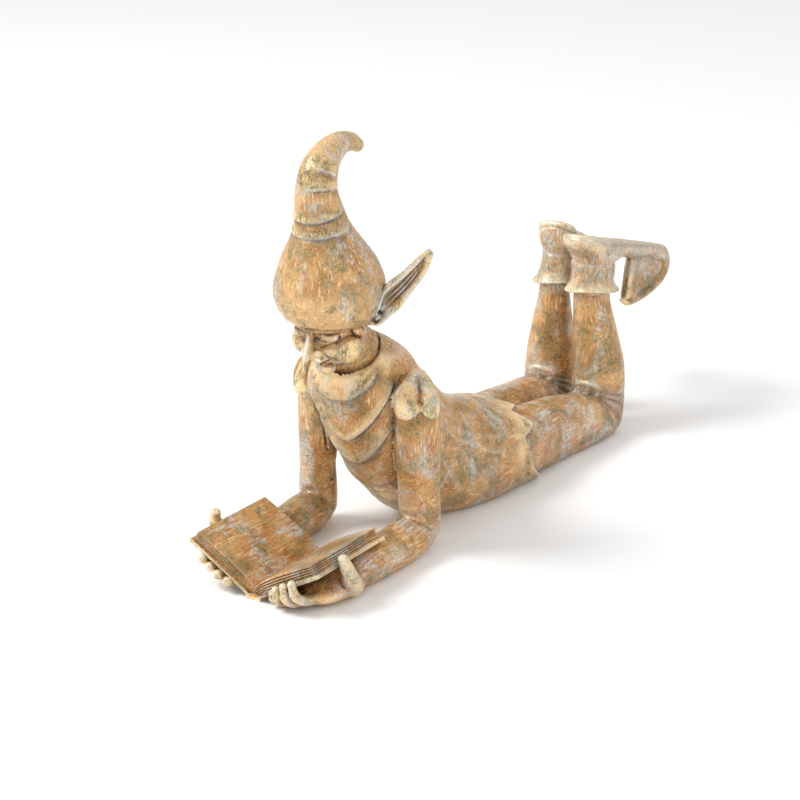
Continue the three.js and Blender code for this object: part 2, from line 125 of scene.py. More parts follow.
# A loft through stations of at, side and up; shape(share, x, y) may change the section. The ends are domes.
def loft(parts, stations, around=40, spacing=3.0, bulge=0.35, shape=None):
    at, side, up = (curveThrough([s[key] for s in stations]) for key in ("at", "side", "up"))
    tapers = [s.get("taper", 0) for s in stations]
    steps = max(5, int(curveLength(at) / spacing))
    domes = (75, 50, 25)
    bulges = bulge if isinstance(bulge, tuple) else (bulge, bulge)

    def ringPoint(place, x, y):
        share = min(max(place, 0.0), 1.0)
        over = place - share
        taper = np.interp(share * (len(tapers) - 1), range(len(tapers)), tapers)
        if shape:
            x, y = shape(share, x, y)
        grow, out = 1.0, np.zeros(3)
        if over:
            angle = math.radians(abs(over))
            inward = 0.02 if over < 0 else 0.98
            size = min(np.linalg.norm(side(share)), np.linalg.norm(up(share)))
            grow = math.cos(angle)
            out = unit(at(share) - at(inward)) * bulges[over > 0] * size * math.sin(angle)
        wide = x * (1 + taper * y)
        return at(share) + out + grow * (side(share) * wide + up(share) * y)

    shares = [-a for a in domes] + [i / steps for i in range(steps + 1)] + [1 + a for a in reversed(domes)]
    bm = skin(bmesh.new(), shares, ringPoint, around)
    added(parts, bm)


# Stations that stand square to a path. Each radius is one number or (half width, half height).
def squareTo(points, radii, reference=(1, 0, 0)):
    path = curveThrough(points)
    last = len(points) - 1
    stations = []
    for i, at in enumerate(points):
        along = unit(path(min(i / last + 1e-3, 1)) - path(max(i / last - 1e-3, 0)))
        side = np.array(reference, float)
        side = unit(side - along * side.dot(along))
        up = np.cross(along, side)
        wide, high = radii[i] if isinstance(radii[i], (list, tuple)) else (radii[i], radii[i])
        stations.append({"at": at, "side": side * wide, "up": up * high})
    return stations


def limb(parts, points, radii, reference=(1, 0, 0), **options):
    loft(parts, squareTo(points, radii, reference), **options)


def ball(parts, at, halves, turn=0):
    bm = bmesh.new()
    place = Matrix.Translation(at) @ Matrix.Rotation(turn, 4, "Y") @ Matrix.Diagonal((*halves, 1))
    bmesh.ops.create_icosphere(bm, subdivisions=4, radius=1, matrix=place)
    added(parts, bm)


def objectOf(name, mesh):
    made = bpy.data.objects.new(name, mesh)
    bpy.context.scene.collection.objects.link(made)
    return made


def applied(made):
    graph = bpy.context.evaluated_depsgraph_get()
    mesh = bpy.data.meshes.new_from_object(made.evaluated_get(graph))
    made.modifiers.clear()
    made.data = mesh
    return made


# Fuses parts into one skin of small voxels.
def fused(name, parts, voxel):
    bm = bmesh.new()
    for mesh in parts:
        bm.from_mesh(mesh)
        bpy.data.meshes.remove(mesh)
    mesh = bpy.data.meshes.new(name)
    bm.to_mesh(mesh)
    bm.free()
    made = objectOf(name, mesh)
    remesh = made.modifiers.new("fuse", "REMESH")
    remesh.mode = "VOXEL"
    remesh.voxel_size = voxel
    return applied(made)


def thinned(made, triangles):
    decimate = made.modifiers.new("thin", "DECIMATE")
    made.data.calc_loop_triangles()
    decimate.ratio = min(1.0, triangles / len(made.data.loop_triangles))
    decimate.use_collapse_triangulate = True
    return applied(made)


def joined(made, other):
    union = made.modifiers.new("join", "BOOLEAN")
    union.operation = "UNION"
    union.solver = "MANIFOLD"
    union.object = other
    applied(made)
    bpy.data.objects.remove(other)
    return made


# Sculpting: moves of a skin's points.
def pointsOf(mesh):
    co = np.empty(len(mesh.vertices) * 3, np.float32)
    mesh.vertices.foreach_get("co", co)
    return co.reshape(-1, 3).astype(float)


def setPoints(mesh, co):
    mesh.vertices.foreach_set("co", co.astype(np.float32).ravel())
    mesh.update()


def normalsOf(mesh):
    n = np.empty(len(mesh.vertices) * 3, np.float32)
    mesh.vertex_normals.foreach_get("vector", n)
    return n.reshape(-1, 3).astype(float)


def edgesOf(mesh):
    e = np.empty(len(mesh.edges) * 2, np.int32)
    mesh.edges.foreach_get("vertices", e)
    return e.reshape(-1, 2)


def neighbourMean(values, edges):
    a, b = edges[:, 0], edges[:, 1]
    size = len(values)
    count = np.maximum(np.bincount(edges.ravel(), minlength=size), 1)
    columns = values if values.ndim == 2 else values[:, None]
    mean = np.stack(
        [
            (np.bincount(a, c[b], size) + np.bincount(b, c[a], size)) / count
            for c in columns.T
        ],
        axis=1,
    )
    return mean if values.ndim == 2 else mean[:, 0]


# Takes the grain out of a skin; the second step of each pair gives back what the first shrinks.
def relaxed(made, times):
    co, edges = pointsOf(made.data), edgesOf(made.data)
    for _ in range(times):
        for step in (0.5, -0.52):
            co += step * (neighbourMean(co, edges) - co)
    setPoints(made.data, co)


def rippled(values):
    return values * values * (3 - 2 * values)


# Lays a path on the skin, a point each millimetre or so.
def laid(points, tree, spacing=1.0):
    curve = curveThrough(points)
    steps = max(3, int(curveLength(curve) / spacing))
    path = []
    for i in range(steps + 1):
        p = curve(i / steps)
        found = tree.find_nearest(Vector(p))[0]
        path.append(np.array(found if found is not None else p))
    return np.array(path)


def near(co, path, reach):
    low, high = path.min(0) - reach, path.max(0) + reach
    chosen = np.flatnonzero(((co > low) & (co < high)).all(1))
    a, d = path[:-1], np.diff(path, axis=0)
    rel = co[chosen, None] - a[None]
    t = np.clip((rel * d).sum(2) / np.maximum((d * d).sum(1), 1e-9), 0, 1)
    off = rel - t[..., None] * d
    distance = np.sqrt((off**2).sum(2))
    best = distance.argmin(1)
    row = np.arange(len(chosen))
    keep = distance[row, best] < reach
    chosen, best, row = chosen[keep], best[keep], row[keep]
    along = (best + t[row, best]) / len(d)
    return chosen, distance[row, best], off[row, best], along, d[best]


# each stroke also carries a pale line, partly lime and partly painted highlight, and an amount of painted shade,
# for the masks
strokes = []  # each stroke as laid, for the patina to follow


# One tool stroke over a skin. A lap raises the side that faces focus and drops sharply on the other side. The
# stroke also paints a pale line, partly lime deposit and partly a painted highlight, and a dark line of painted
# shade.
def carve(made, tree, points, kind, height, width, focus=None, fade=0.25, lime=0.0, paintedShadow=0.0):
    path = laid(points, tree)
    strokes.append({"path": path, "width": width, "lime": lime, "paintedShadow": paintedShadow})
    co, normals = pointsOf(made.data), normalsOf(made.data)
    reach = width * (3.5 if kind == "lap" else 2.6)
    chosen, distance, off, along, tangent = near(co, path, reach)
    if not len(chosen):
        print("stroke missed the skin", points[0])
        return
    fall = np.clip(np.minimum(along, 1 - along) / max(fade, 1e-6), 0, 1) ** 0.7 if fade else 1.0
    n = normals[chosen]
    if kind == "ridge":
        move = height * np.exp(-((distance / width) ** 2))
    elif kind == "groove":
        move = -height * np.exp(-((distance / width) ** 2))
    else:
        side = np.cross(tangent, n)
        side /= np.maximum(np.linalg.norm(side, axis=1), 1e-9)[:, None]
        toFocus = np.array(focus) - (co[chosen] - off)
        side *= np.sign((side * toFocus).sum(1))[:, None]
        s = (off * side).sum(1)
        rise = rippled(np.clip((s + 0.5) / 1.1, 0, 1))
        shelf = 0.6 * np.exp(-np.maximum(s, 0) / width) + 0.4 * np.exp(-(((s - 1.8) / 2.0) ** 2))
        under = 0.35 * np.exp(-(((s + 1.3) / 1.1) ** 2))
        move = height * (rise * shelf - under)
    co[chosen] += n * (move * fall)[:, None]
    setPoints(made.data, co)


def treeOf(made):
    bm = bmesh.new()
    bm.from_mesh(made.data)
    tree = BVHTree.FromBMesh(bm)
    bm.free()
    return tree


# The figure: body, clothes, limbs, boots and hands.
body = {
    # chest point and back point in the YZ plane, and half width
    "sections": [
        ((214, 1), (214, 53), 47),
        ((172, -2), (188, 64), 54),
        ((128, -3), (150, 79), 53),
        ((84, -2), (118, 90), 47),
        ((40, 13), (94, 102), 42),
        ((10, 40), (76, 117), 40),
        ((-14, 70), (58, 133), 41),
        ((-28, 100), (40, 149), 43),
        ((-38, 126), (26, 163), 43),
        ((-44, 144), (10, 174), 36),
        ((-44, 151), (-1, 180), 27),
    ],
    "collarDepth": 9,
    "collarWall": 3.2,
    "hemStep": 2.8,
    # degrees round the body from its left, and how far back the hem reaches; the right half mirrors it
    "hemLine": [
        (-90, 168), (-62, 170), (-35, 190), (-12, 172), (5, 160), (20.5, 156), (29, 172), (37.5, 183),
        (46, 176), (55.6, 166), (63, 182), (70, 195), (76, 180), (81, 162), (90, 180),
    ],
    "shoulders": {"left": (52, -10, 137), "right": (-48, -2, 133)},
    "elbows": {"left": (43, 11, 16.5), "right": (-53, 6, 17)},
    "wrists": {"left": (42, -86, 13), "right": (-48, -86, 13)},
    "hips": {"left": 23, "right": -22},
    "knees": {"left": (32, 322), "right": (-26, 337)},
    "ankles": {"left": (21, 325), "right": (-20, 329)},
}


torsoRows = [
    {
        "at": (0, (chest[0] + back[0]) / 2, (chest[1] + back[1]) / 2),
        "side": (half, 0, 0),
        "up": (0, (back[0] - chest[0]) / 2, (back[1] - chest[1]) / 2),
    }
    for chest, back, half in body["sections"]
]
torsoCurves = [curveThrough([row[k] for row in torsoRows]) for k in ("at", "side", "up")]


# A point of the body's skin, by its share from hips to neck and a point of the unit circle, lifted by grow.
def onTorso(share, x, y, grow=0.0):
    at, side, up = (curve(share) for curve in torsoCurves)
    x, y = squarer(x, y, 2 + 2 * fading(share, 0.12, 0.42))
    wide, high = np.linalg.norm(side), np.linalg.norm(up)
    return at + side * x * (1 + grow / wide) + up * y * (1 + grow / high)


def torso(parts):
    side, up = torsoCurves[1](1), torsoCurves[2](1)
    # the collar turns in and goes down inside as a cup, so that a dark gap is left round the neck
    inside = unit(np.cross(side, up))
    inside = inside if inside[2] < 0 else -inside
    wall = body["collarWall"]
    steps = 90
    cup = [(0.0, 0.3), (0.35, -0.4), (0.75, -0.1), (1.0, 0.8), (1.05, 3.0), (1.1, body["collarDepth"])]

    def ringPoint(place, x, y):
        if place < 0:
            angle = math.radians(-place)
            middle = torsoCurves[0](0)
            bulge = np.array([0, 2.5 * math.sin(angle), 0])
            return middle + math.cos(angle) * (onTorso(0, x, y) - middle) + bulge
        p = onTorso(min(place, 1.0), x, y)
        if place > 1:
            inset, depth = cup[int(place) - 2]
            p = p - unit(side * x + up * y) * inset * wall + inside * depth
        return p

    shares = [-75, -50, -25] + [i / steps for i in range(steps + 1)] + [i + 2 for i in range(len(cup))]
    added(parts, skin(bmesh.new(), shares, ringPoint, 72))


# The tunic's skirt: it leaves the body's skin and ends in a thin step at the hem, which is cut into leaves.
def skirt(parts):
    step = body["hemStep"]
    bearings, reaches = zip(*body["hemLine"])
    # how far back from the hem, and how far out of the body's skin, ring by ring; the last rings turn under
    rings = [(46, -1.5), (34, -0.4), (24, 0.4), (15, 1.0), (8, 1.5), (3, 2.1)]
    rings += [(0.6, step), (0, step - 0.6), (0.2, -3), (6, -12)]
    lip, underside = 6, 8

    def ringPoint(place, x, y):
        bearing = math.degrees(math.atan2(y, abs(x)))
        behind, lift = rings[int(place)]
        hemY = np.interp(bearing, bearings, reaches) - behind
        low, high = 0.0, 0.6
        for _ in range(12):
            middle = (low + high) / 2
            if onTorso(middle, x, y)[1] > hemY:
                low = middle
            else:
                high = middle
        return onTorso(low, x, y, lift)

    added(parts, skin(bmesh.new(), range(len(rings)), ringPoint, 180))
    # a pale line along the hem's lip, partly lime and partly painted highlight, and painted shade along its
    # turned-under side
    for ring, back, lime, paintedShadow in ((lip, 0, 0.75, 0.0), (underside, 1.6, 0.0, 0.85)):
        angles = [math.pi * i / 90 for i in range(181)]
        path = np.array([ringPoint(ring, math.cos(a), math.sin(a)) for a in angles]) + (0, back, 0)
        strokes.append({"path": path, "width": 0.8, "lime": lime, "paintedShadow": paintedShadow})


def leg(parts, side):
    hipX, (kx, ky), (ax, ay) = (body[k][side] for k in ("hips", "knees", "ankles"))
    out = math.copysign(1, hipX)
    girth = boots[side]["girth"]
    thin, calf = 16.5 * girth, 10 + 10 * girth
    loft(
        parts,
        [
            {"at": (hipX, 168, 34), "side": (25, 0, 0), "up": (0, 0, 28)},
            {"at": (hipX + 1.5 * out, 205, 30), "side": (27, 0, 0), "up": (0, 0, 28)},
            {"at": ((hipX + kx) / 2, 252, 26.5), "side": (25.5, 0, 0), "up": (0, 0, 26.5)},
            {"at": (kx, ky - 32, 23.5), "side": (25, 0, 0), "up": (0, -3, 23.5)},
            {"at": (kx, ky - 8, 24.5), "side": (25, 0, 0), "up": (0, -18, 21)},
            {"at": (kx, ky, 44), "side": (24.5, 0, 0), "up": (0, -23, 9)},
            {"at": (kx, ky + 1, 66), "side": (23, 0, 0), "up": (0, -23, 1)},
            {"at": ((kx + ax) / 2, (ky + ay) / 2, 96), "side": (calf, 0, 0), "up": (0, -calf, 0)},
            {"at": (ax, ay, 125), "side": (thin, 0, 0), "up": (0, -thin, 0)},
            {"at": (ax, ay, 138), "side": (thin, 0, 0), "up": (0, -thin, 0)},
        ],
        around=56,
        shape=lambda share, x, y: squarer(x, y, 2 + 2 * fading(share, 0.35, 0.6)),
    )


boots = {
    "cuffFlare": 5,
    "bladeThickness": 7.5,
    "left": {
        "heel": (19, 296, 190),
        "turn": 3.5,
        "slope": 15,
        "lean": -6,
        "girth": 1,
        "heelCut": 0,
        "sole": {"depth": 3.2, "groove": 0.6},
    },
    "right": {
        "heel": (-19, 318, 195),
        "turn": -6,
        "slope": 25,
        "lean": 15,
        "girth": 0.85,
        "heelCut": 12,
        "sole": {"depth": 9.5, "groove": 1.1},
    },
    # along the sole, depth of the upper and lower side, half width, taper
    "foot": [
        (-1, 1, 9, 8, 0.1),
        (3, 0, 13, 14.5, 0.15),
        (14, 0, 20, 18, 0.1),
        (34, 0, 34, 18.5, 0),
        (53, 0, 25, 18, 0.1),
        (74, 0, 17, 15.5, 0.2),
        (102, 0, 16.5, 13, 0.2),
        (126, 0, 15, 10.5, 0.2),
        (145, 0.5, 15.5, 9, 0.1),
        (160, 3, 16, 7.5, 0),
    ],
    # the rolled rim of the curled toe: along, depth, radius
    "curl": [
        (142, 9, 8.5),
        (158, 9.5, 8),
        (167, 18.5, 7),
        (162, 32, 6.5),
        (146, 43, 6),
        (127, 52.5, 5),
        (110, 58, 3.4),
        (99, 56, 1.6),
    ],
    # outline of the blade inside the curl
    "blade": [
        (104, 8), (101.5, 14), (100.5, 20), (101, 28), (102, 36), (102.6, 45), (103, 54),
        (114, 54.5), (126, 51), (138, 46), (149, 41.5), (158, 36), (165, 26), (166, 16), (160, 9),
        (145, 5), (125, 5),
    ],
}


def bootAxes(side):
    b = boots[side]
    turn, slope = math.radians(b["turn"]), math.radians(b["slope"])
    ahead = np.array([math.sin(turn), math.cos(turn), 0])
    across = np.array([ahead[1], -ahead[0], 0])
    along = ahead * math.cos(slope) - np.array([0, 0, math.sin(slope)])
    up = np.cross(across, along)
    return np.array(b["heel"], float), along, across, up


def onBoot(side, a, b, out=0.0):
    heel, along, across, up = bootAxes(side)
    return tuple(heel + along * a - up * b + across * out)


def boot(parts, side):
    _, _, across, up = bootAxes(side)
    rows = [
        {
            "at": onBoot(side, a + boots[side]["heelCut"] * max(0, 1 - a / 20), (top + bottom) / 2),
            "side": across * half,
            "up": up * (bottom - top) / 2,
            "taper": taper,
        }
        for a, top, bottom, half, taper in boots["foot"]
    ]

    # the sole is flatter than the rest of the section and has a firm edge
    def shoeSection(share, x, y):
        flat = 0.55 * max(0.0, 1 - share * 1.1)
        if y > 0:
            y = y * (1 - flat) + flat * (1 - (1 - min(1.0, y * 2.2)) ** 2)
        return x, y

    loft(parts, rows, around=56, bulge=0.4, shape=shoeSection)
    limb(
        parts,
        [onBoot(side, a, b) for a, b, _ in boots["curl"]],
        [r for _, _, r in boots["curl"]],
        reference=across,
        around=32,
        bulge=0.7,
    )
    bm = bmesh.new()
    ring = [bm.verts.new(onBoot(side, a, b, -boots["bladeThickness"] / 2)) for a, b in boots["blade"]]
    face = bm.faces.new(ring)
    lifted = bmesh.ops.extrude_face_region(bm, geom=[face], use_keep_orig=True)["geom"]
    moved = [g for g in lifted if isinstance(g, bmesh.types.BMVert)]
    bmesh.ops.translate(bm, verts=moved, vec=across * boots["bladeThickness"])
    bmesh.ops.triangulate(bm, faces=bm.faces)
    added(parts, bm)

    ankle, lean = body["ankles"][side], math.tan(math.radians(boots[side]["lean"]))

    def rise(z):
        return (ankle[0], ankle[1] + (z - 130) * lean, z)

    girth = boots[side]["girth"]
    shaft = [r * girth for r in (18.5, 17.5, 18, 18)]
    limb(parts, [rise(z) for z in (134, 148, 162, 176)], shaft, around=56, bulge=0.1)
    flare = boots["cuffFlare"]
    # height and radius, from inside the turned edge up
    rings = [(136, 15), (133.6, 17.2 + flare), (135, 17.8 + flare), (138.5, 20.4)]
    rings += [(144, 18.9), (152, 18.2), (160, 18.6), (166, 17)]

    def cuffPoint(place, x, y):
        z, radius = rings[int(place)]
        angle = math.atan2(y, x)
        turned = angle - math.radians(34)
        corner = abs(math.cos(turned)) ** 9
        down = math.exp(-max(z - 134, 0) / 4.5)
        grow = girth * radius * (1 + 0.12 * corner * down) + 0.5 * math.sin(3 * angle + 1) * (1 - down)
        wave = -1.8 * math.cos(2 * turned) * down
        at = rise(z)
        return (at[0] + x * grow, at[1] + y * grow, z + wave)

    added(parts, skin(bmesh.new(), range(len(rings)), cuffPoint, 96))


def arm(parts, side):
    shoulder, elbow, wrist = (np.array(body[k][side], float) for k in ("shoulders", "elbows", "wrists"))
    out = math.copysign(1, shoulder[0])
    broad = math.radians(34)
    rows = [
        (shoulder, 15, 14),
        (shoulder + (elbow - shoulder) * 0.22, 17.5, 14.5),
        (shoulder + (elbow - shoulder) * 0.45, 17.5, 14.5),
        (shoulder + (elbow - shoulder) * 0.68, 16.5, 14.5),
        (shoulder + (elbow - shoulder) * 0.88, 16.5, 15.5),
        (elbow, 15.5, 15),
        (np.array([elbow[0], elbow[1], 6]), 10, 10),
    ]
    loft(
        parts,
        [
            {
                "at": at,
                "side": (out * long * math.cos(broad), long * math.sin(broad), 0),
                "up": (-out * short * math.sin(broad), short * math.cos(broad), 0),
            }
            for at, long, short in rows
        ],
        around=48,
    )
    forearm = [tuple(elbow + (wrist - elbow) * share) for share in (0.2, 0.45, 0.75, 1)]
    points = [(elbow[0], elbow[1] + 3, 17), *forearm]
    limb(parts, points, [13, 17.5, 17, 15, (13.5, 11.5)], around=48, bulge=0.5)


def sleeve(parts, side):
    shoulder = body["shoulders"][side]
    reach = 20
    steps = 22

    def ringPoint(share, x, y):
        angle = math.atan2(y, x)
        if share > 1:
            return (shoulder[0] + x * 11, shoulder[1] + y * 11, shoulder[2] + 3 - 4 * (share - 1))
        lobe = abs(math.cos(2 * angle)) ** 0.7
        polar = math.radians(share * (66 + 27 * lobe))
        swell = 1 + 0.07 * lobe * math.sin(math.pi * share)
        swell -= 0.04 * (1 - lobe) ** 3 * share + 0.1 * share**6
        return (
            shoulder[0] + reach * swell * math.sin(polar) * math.cos(angle),
            shoulder[1] + reach * swell * math.sin(polar) * math.sin(angle),
            shoulder[2] + reach * 1.1 * swell * math.cos(polar) - 14 * share,
        )

    shares = [0.02 + 0.98 * i / steps for i in range(steps + 1)] + [2]
    added(parts, skin(bmesh.new(), shares, ringPoint, 96))


hands = {
    "left": {
        "palm": [(42, -86, 13), (41, -98, 12.5), (36, -111, 10.5), (29, -121, 9)],
        "fingers": [
            [(42, -112, 11), (40, -126, 10.5), (37.5, -137, 13), (35, -143.5, 19), (32.5, -143.5, 27.5)],
            [(35, -114, 9), (32, -128, 8.5), (29, -139, 10), (27, -144.5, 15.5), (25.2, -144, 23.6)],
            [(28, -114, 8), (24, -127, 7), (20.5, -138, 8), (19, -143.5, 12), (17.7, -143.5, 19)],
            [(22, -112, 7), (17, -124, 6), (13.5, -134, 6.5), (12.2, -139, 9), (11.6, -139.5, 13)],
        ],
        "radii": [4.6, 4.2, 4.0, 3.8, 3.3],
        "thumb": [(49, -92, 12), (54, -99, 17.5), (57, -104.5, 25), (56.5, -107.5, 32.5), (54, -109.5, 40.5)],
        "thumbRadii": [10.5, 8.2, 6.4, 5.3, 4.0],
    },
    "right": {
        "palm": [(-48, -84, 13), (-49, -98, 12.5), (-46, -112, 11), (-42, -124, 10)],
        "fingers": [
            [(-52, -108, 14), (-53.5, -124, 19.5), (-55, -139, 23.5)],
            [(-46, -110, 11), (-46.8, -126, 15.5), (-47.5, -140, 19)],
            [(-39, -110, 9), (-39, -126, 11.5), (-39.7, -140.5, 15)],
            [(-32, -110, 7), (-31.4, -125, 8.8), (-31.5, -139.5, 11)],
        ],
        "radii": [4.6, 4.3, 4.0],
        "thumb": [(-60, -88, 15), (-67, -91, 19), (-73, -94, 26), (-75.5, -98, 35), (-73, -100, 43.5)],
        "thumbRadii": [8.5, 7.5, 6.3, 5.3, 4.0],
    },
}


def hand(parts, side):
    h = hands[side]
    limb(parts, h["palm"], [(13.5, 11), (16.5, 10.5), (17, 7.5), (13, 5.5)], around=40)
    for points in h["fingers"]:
        limb(parts, points, h["radii"], reference=(0, 0, 1), around=24, spacing=1.5, bulge=0.8)
    limb(parts, h["thumb"], h["thumbRadii"], reference=(0, 0, 1), around=24, spacing=1.5, bulge=0.7)


def figure():
    parts = []
    torso(parts)
    skirt(parts)
    for side in ("left", "right"):
        leg(parts, side)
    for side in ("left", "right"):
        boot(parts, side)
        arm(parts, side)
        sleeve(parts, side)
        hand(parts, side)
    made = fused("figure", parts, fineness["figure"]["voxel"])
    relaxed(made, 5)
    print("figure fused", len(made.data.vertices))
    return made


# Folds and creases of the figure, each as points from one end to the other.
def mirrored(points):
    return [(-x, y, z) for x, y, z in points]


def acrossBody(half):
    return half + mirrored(half[-2::-1])


folds = {
    # points, height, width and the point that the raised side faces
    "cowl": [
        (
            [(-29, -29, 157), (-26, -34, 149), (-19, -38, 140.5), (-9, -40, 134.5), (0, -41, 132.5)]
            + [(10, -40, 134.5), (20, -38, 140.5), (27, -33, 149), (30, -27, 158)],
            *(3.0, 7, (0, -30, 170)),
        ),
        (
            [(-38, -19, 148), (-36, -24, 137), (-31, -27, 127), (-22, -27, 115)]
            + [(-11, -27, 102.5), (0, -26, 95.5), (11, -27, 102.5), (23, -27, 115)]
            + [(32, -27, 127), (36.5, -24, 137), (38, -18, 148)],
            *(3.8, 9, (0, -20, 160)),
        ),
        (
            acrossBody([(-38, -12, 114), (-31, -17, 102), (-20, -17, 88), (-10, -16, 79), (0, -15, 75.5)]),
            *(2.9, 7, (0, 0, 150)),
        ),
        (
            acrossBody([(-38, 16, 76), (-30, 9, 64), (-20, 5, 56), (-10, 3, 50.5), (0, 3, 48)]),
            *(2.0, 6, (0, 30, 120)),
        ),
    ],
    # thin gathers that run back along the ribs and under the belly
    "gathers": [
        ([(38, 47, 93), (39, 66, 76), (42, 88, 63), (46, 106, 53), (50, 125, 46)], "ridge", 1.4, 2.2),
        ([(39, 62, 80), (43, 76, 58), (44, 90, 38), (44, 106, 22)], "ridge", 1.2, 2.4),
        ([(38, 40, 74), (41, 60, 48), (42, 76, 24)], "groove", 0.9, 2.2),
        ([(42, 80, 78), (47, 110, 66), (52, 140, 60)], "groove", 0.8, 3.0),
        ([(6, 3, 49), (8, 12, 38), (10, 24, 26)], "ridge", 0.8, 1.4),
        ([(16, 4, 53), (20, 14, 42), (24, 28, 26)], "ridge", 0.8, 1.4),
        ([(-2, 3, 48), (-4, 13, 38), (-6, 24, 26)], "ridge", 0.8, 1.4),
    ],
    "piping": [(57, 2, 157), (55, -7, 157), (53, -17, 154), (47, -24, 147), (41, -25, 138), (36, -22, 127)],
    # the fan of creases on each side of a knee, from its centre: points, kind, height, width, lime (partly a
    # painted highlight) and dark (painted shade)
    "kneeSides": [
        ([(13, -21, 44), (20, -14, 43), (23, -2, 39), (22, 10, 34)], "groove", 1.5, 1.6, 0.4, 0.7),
        ([(14, -22, 42), (21, -15, 39), (24, -5, 33), (24, 4, 27)], "groove", 1.8, 1.6, 0.4, 0.8),
        ([(15, -22, 40), (22, -18, 35), (25, -11, 28), (25, -5, 20)], "groove", 1.8, 1.7, 0.4, 0.8),
        ([(15, -24, 38), (22, -23, 32), (25, -20, 24), (25, -17, 16)], "groove", 1.4, 1.7, 0.4, 0.6),
        ([(15, -41, 42), (20, -48, 37), (22.5, -53, 30), (22.5, -63, 21)], "ridge", 1.1, 2.0, 0.5, 0.2),
        ([(13, -52, 43), (19, -60, 38), (22, -66, 31)], "ridge", 0.8, 2.0, 0.3, 0.2),
    ],
    "kneeBack": [
        ([(-16, -25, 45), (-6, -27, 47), (6, -27, 47), (16, -23, 45)], "groove", 2.6, 1.8, 0.9, 0.3),
        ([(-15, -24, 50), (-5, -24, 52), (6, -24, 52), (15, -22, 50)], "ridge", 1.3, 2.0, 0.8, 0.0),
    ],
}


def kneeStrokes(made, tree, side):
    kx, ky = body["knees"][side]
    for out, rows in ((1, "kneeSides"), (-1, "kneeSides"), (1, "kneeBack")):
        for points, kind, height, width, lime, paintedShadow in folds[rows]:
            placed = [(kx + out * x, ky + y, z) for x, y, z in points]
            carve(made, tree, placed, kind, height, width, fade=0.3, lime=lime, paintedShadow=paintedShadow)


def sculptFigure(made):
    tree = treeOf(made)
    # the folds, gathers and piping also paint pale lines, partly lime and partly painted highlight, and painted
    # shade along their edges and under them
    for points, height, width, focus in folds["cowl"]:
        carve(made, tree, points, "lap", height, width, focus, fade=0.12, lime=0.9, paintedShadow=0.5)
    for points, kind, height, width in folds["gathers"]:
        carve(made, tree, points, kind, height, width, lime=0.35)
        carve(made, tree, mirrored(points), kind, height, width, lime=0.35)
    for piping in (folds["piping"], mirrored(folds["piping"])):
        carve(made, tree, piping, "ridge", 1.2, 1.3, fade=0.1, paintedShadow=0.3)
    for side in ("left", "right"):
        kneeStrokes(made, tree, side)
        bootStrokes(made, tree, side)
        armStrokes(made, tree, side)
        sleeveStrokes(made, tree, side)


def bootStrokes(made, tree, side):
    def row(points, out=1):
        return [onBoot(side, along, deep, out * across) for along, deep, across in points]

    # the sole's edge, round the heel and along both sides
    sole = boots[side]["sole"]
    depth = sole["depth"]
    half = [(112, 0.6 * depth, 13), (74, depth, 16), (40, depth, 19), (14, depth, 18), (1, depth, 9)]
    rim = row(half, -1) + row([(-2, depth, 0)]) + row(half[::-1])
    # the boot's grooves get painted shade in them and a pale line, partly lime and partly painted highlight
    carve(made, tree, rim, "groove", sole["groove"], 1.3, fade=0.08, lime=0.3, paintedShadow=0.4)
    for out in (1, -1):
        # the seam where the instep joins the shaft
        seam = row([(46, 7, 18), (50, 13, 17), (53, 20, 14), (54, 25, 6)], out)
        carve(made, tree, seam, "groove", 0.9, 1.2, lime=0.6)
        # the blade's two faces are dished, inside a raised rim
        dish = row([(112, 24, 4), (124, 27, 4), (138, 28, 4), (150, 26, 4)], out)
        carve(made, tree, dish, "groove", 1.6, 8.0, fade=0.12, paintedShadow=0.2)
        tip = row([(112, 42, 4), (124, 40, 4), (138, 34, 4)], out)
        carve(made, tree, tip, "groove", 1.2, 6.0, fade=0.2, paintedShadow=0.15)
        inner = [(106, 17, 4), (122, 17.5, 5), (140, 19, 6), (153, 24, 6)]
        inner += [(152, 33, 5), (138, 43, 4), (121, 50, 4)]
        carve(made, tree, row(inner, out), "groove", 1.0, 2.2, fade=0.15, paintedShadow=0.45)
    edge = row([(100, 17, 0), (100, 28, 0), (101.5, 40, 0), (102, 52, 0)])
    carve(made, tree, edge, "groove", 1.3, 1.3, fade=0.1, paintedShadow=0.8)
    # the crease round the shaft, above the cuff
    ankle, lean = body["ankles"][side], math.tan(math.radians(boots[side]["lean"]))
    z, radius = 161, 18.4
    middle = ankle[1] + (z - 130) * lean
    ring = []
    for i in range(25):
        angle = 2 * math.pi * i / 24
        x, y = radius * math.cos(angle), radius * math.sin(angle)
        ring.append((ankle[0] + x, middle + y, z + 1.2 * math.sin(2 * angle)))
    carve(made, tree, ring, "groove", 0.7, 1.5, fade=0, lime=0.5, paintedShadow=0.2)


# The crease inside each elbow, with a pale line (partly a painted highlight) and painted shade in it.
def armStrokes(made, tree, side):
    elbowX, elbowY, _ = body["elbows"][side]
    out = 1 if side == "left" else -1
    for points, kind, height, width, lime, paintedShadow in (
        ([(-12, -13, 36), (-4, -18, 36), (5, -19, 36), (12, -15, 38)], "groove", 1.3, 1.7, 0.7, 0.2),
        ([(-9, -16, 42), (0, -19, 42), (9, -17, 43)], "ridge", 0.5, 2.0, 0.3, 0.0),
    ):
        placed = [(elbowX + out * x, elbowY + y, z) for x, y, z in points]
        carve(made, tree, placed, kind, height, width, lime=lime, paintedShadow=paintedShadow)


# The clefts between the sleeve's four leaves, by distance from its middle and height, with painted shade along
# them.
def sleeveStrokes(made, tree, side):
    x, y, z = body["shoulders"][side]
    for i in range(4):
        angle = math.radians(45 + 90 * i)
        c, s = math.cos(angle), math.sin(angle)
        cleft = [(x + out * c, y + out * s, z + up) for out, up in ((9, 18), (15, 10), (18.5, 1), (19, -3))]
        carve(made, tree, cleft, "groove", 0.9, 1.2, fade=0.3, paintedShadow=0.35)


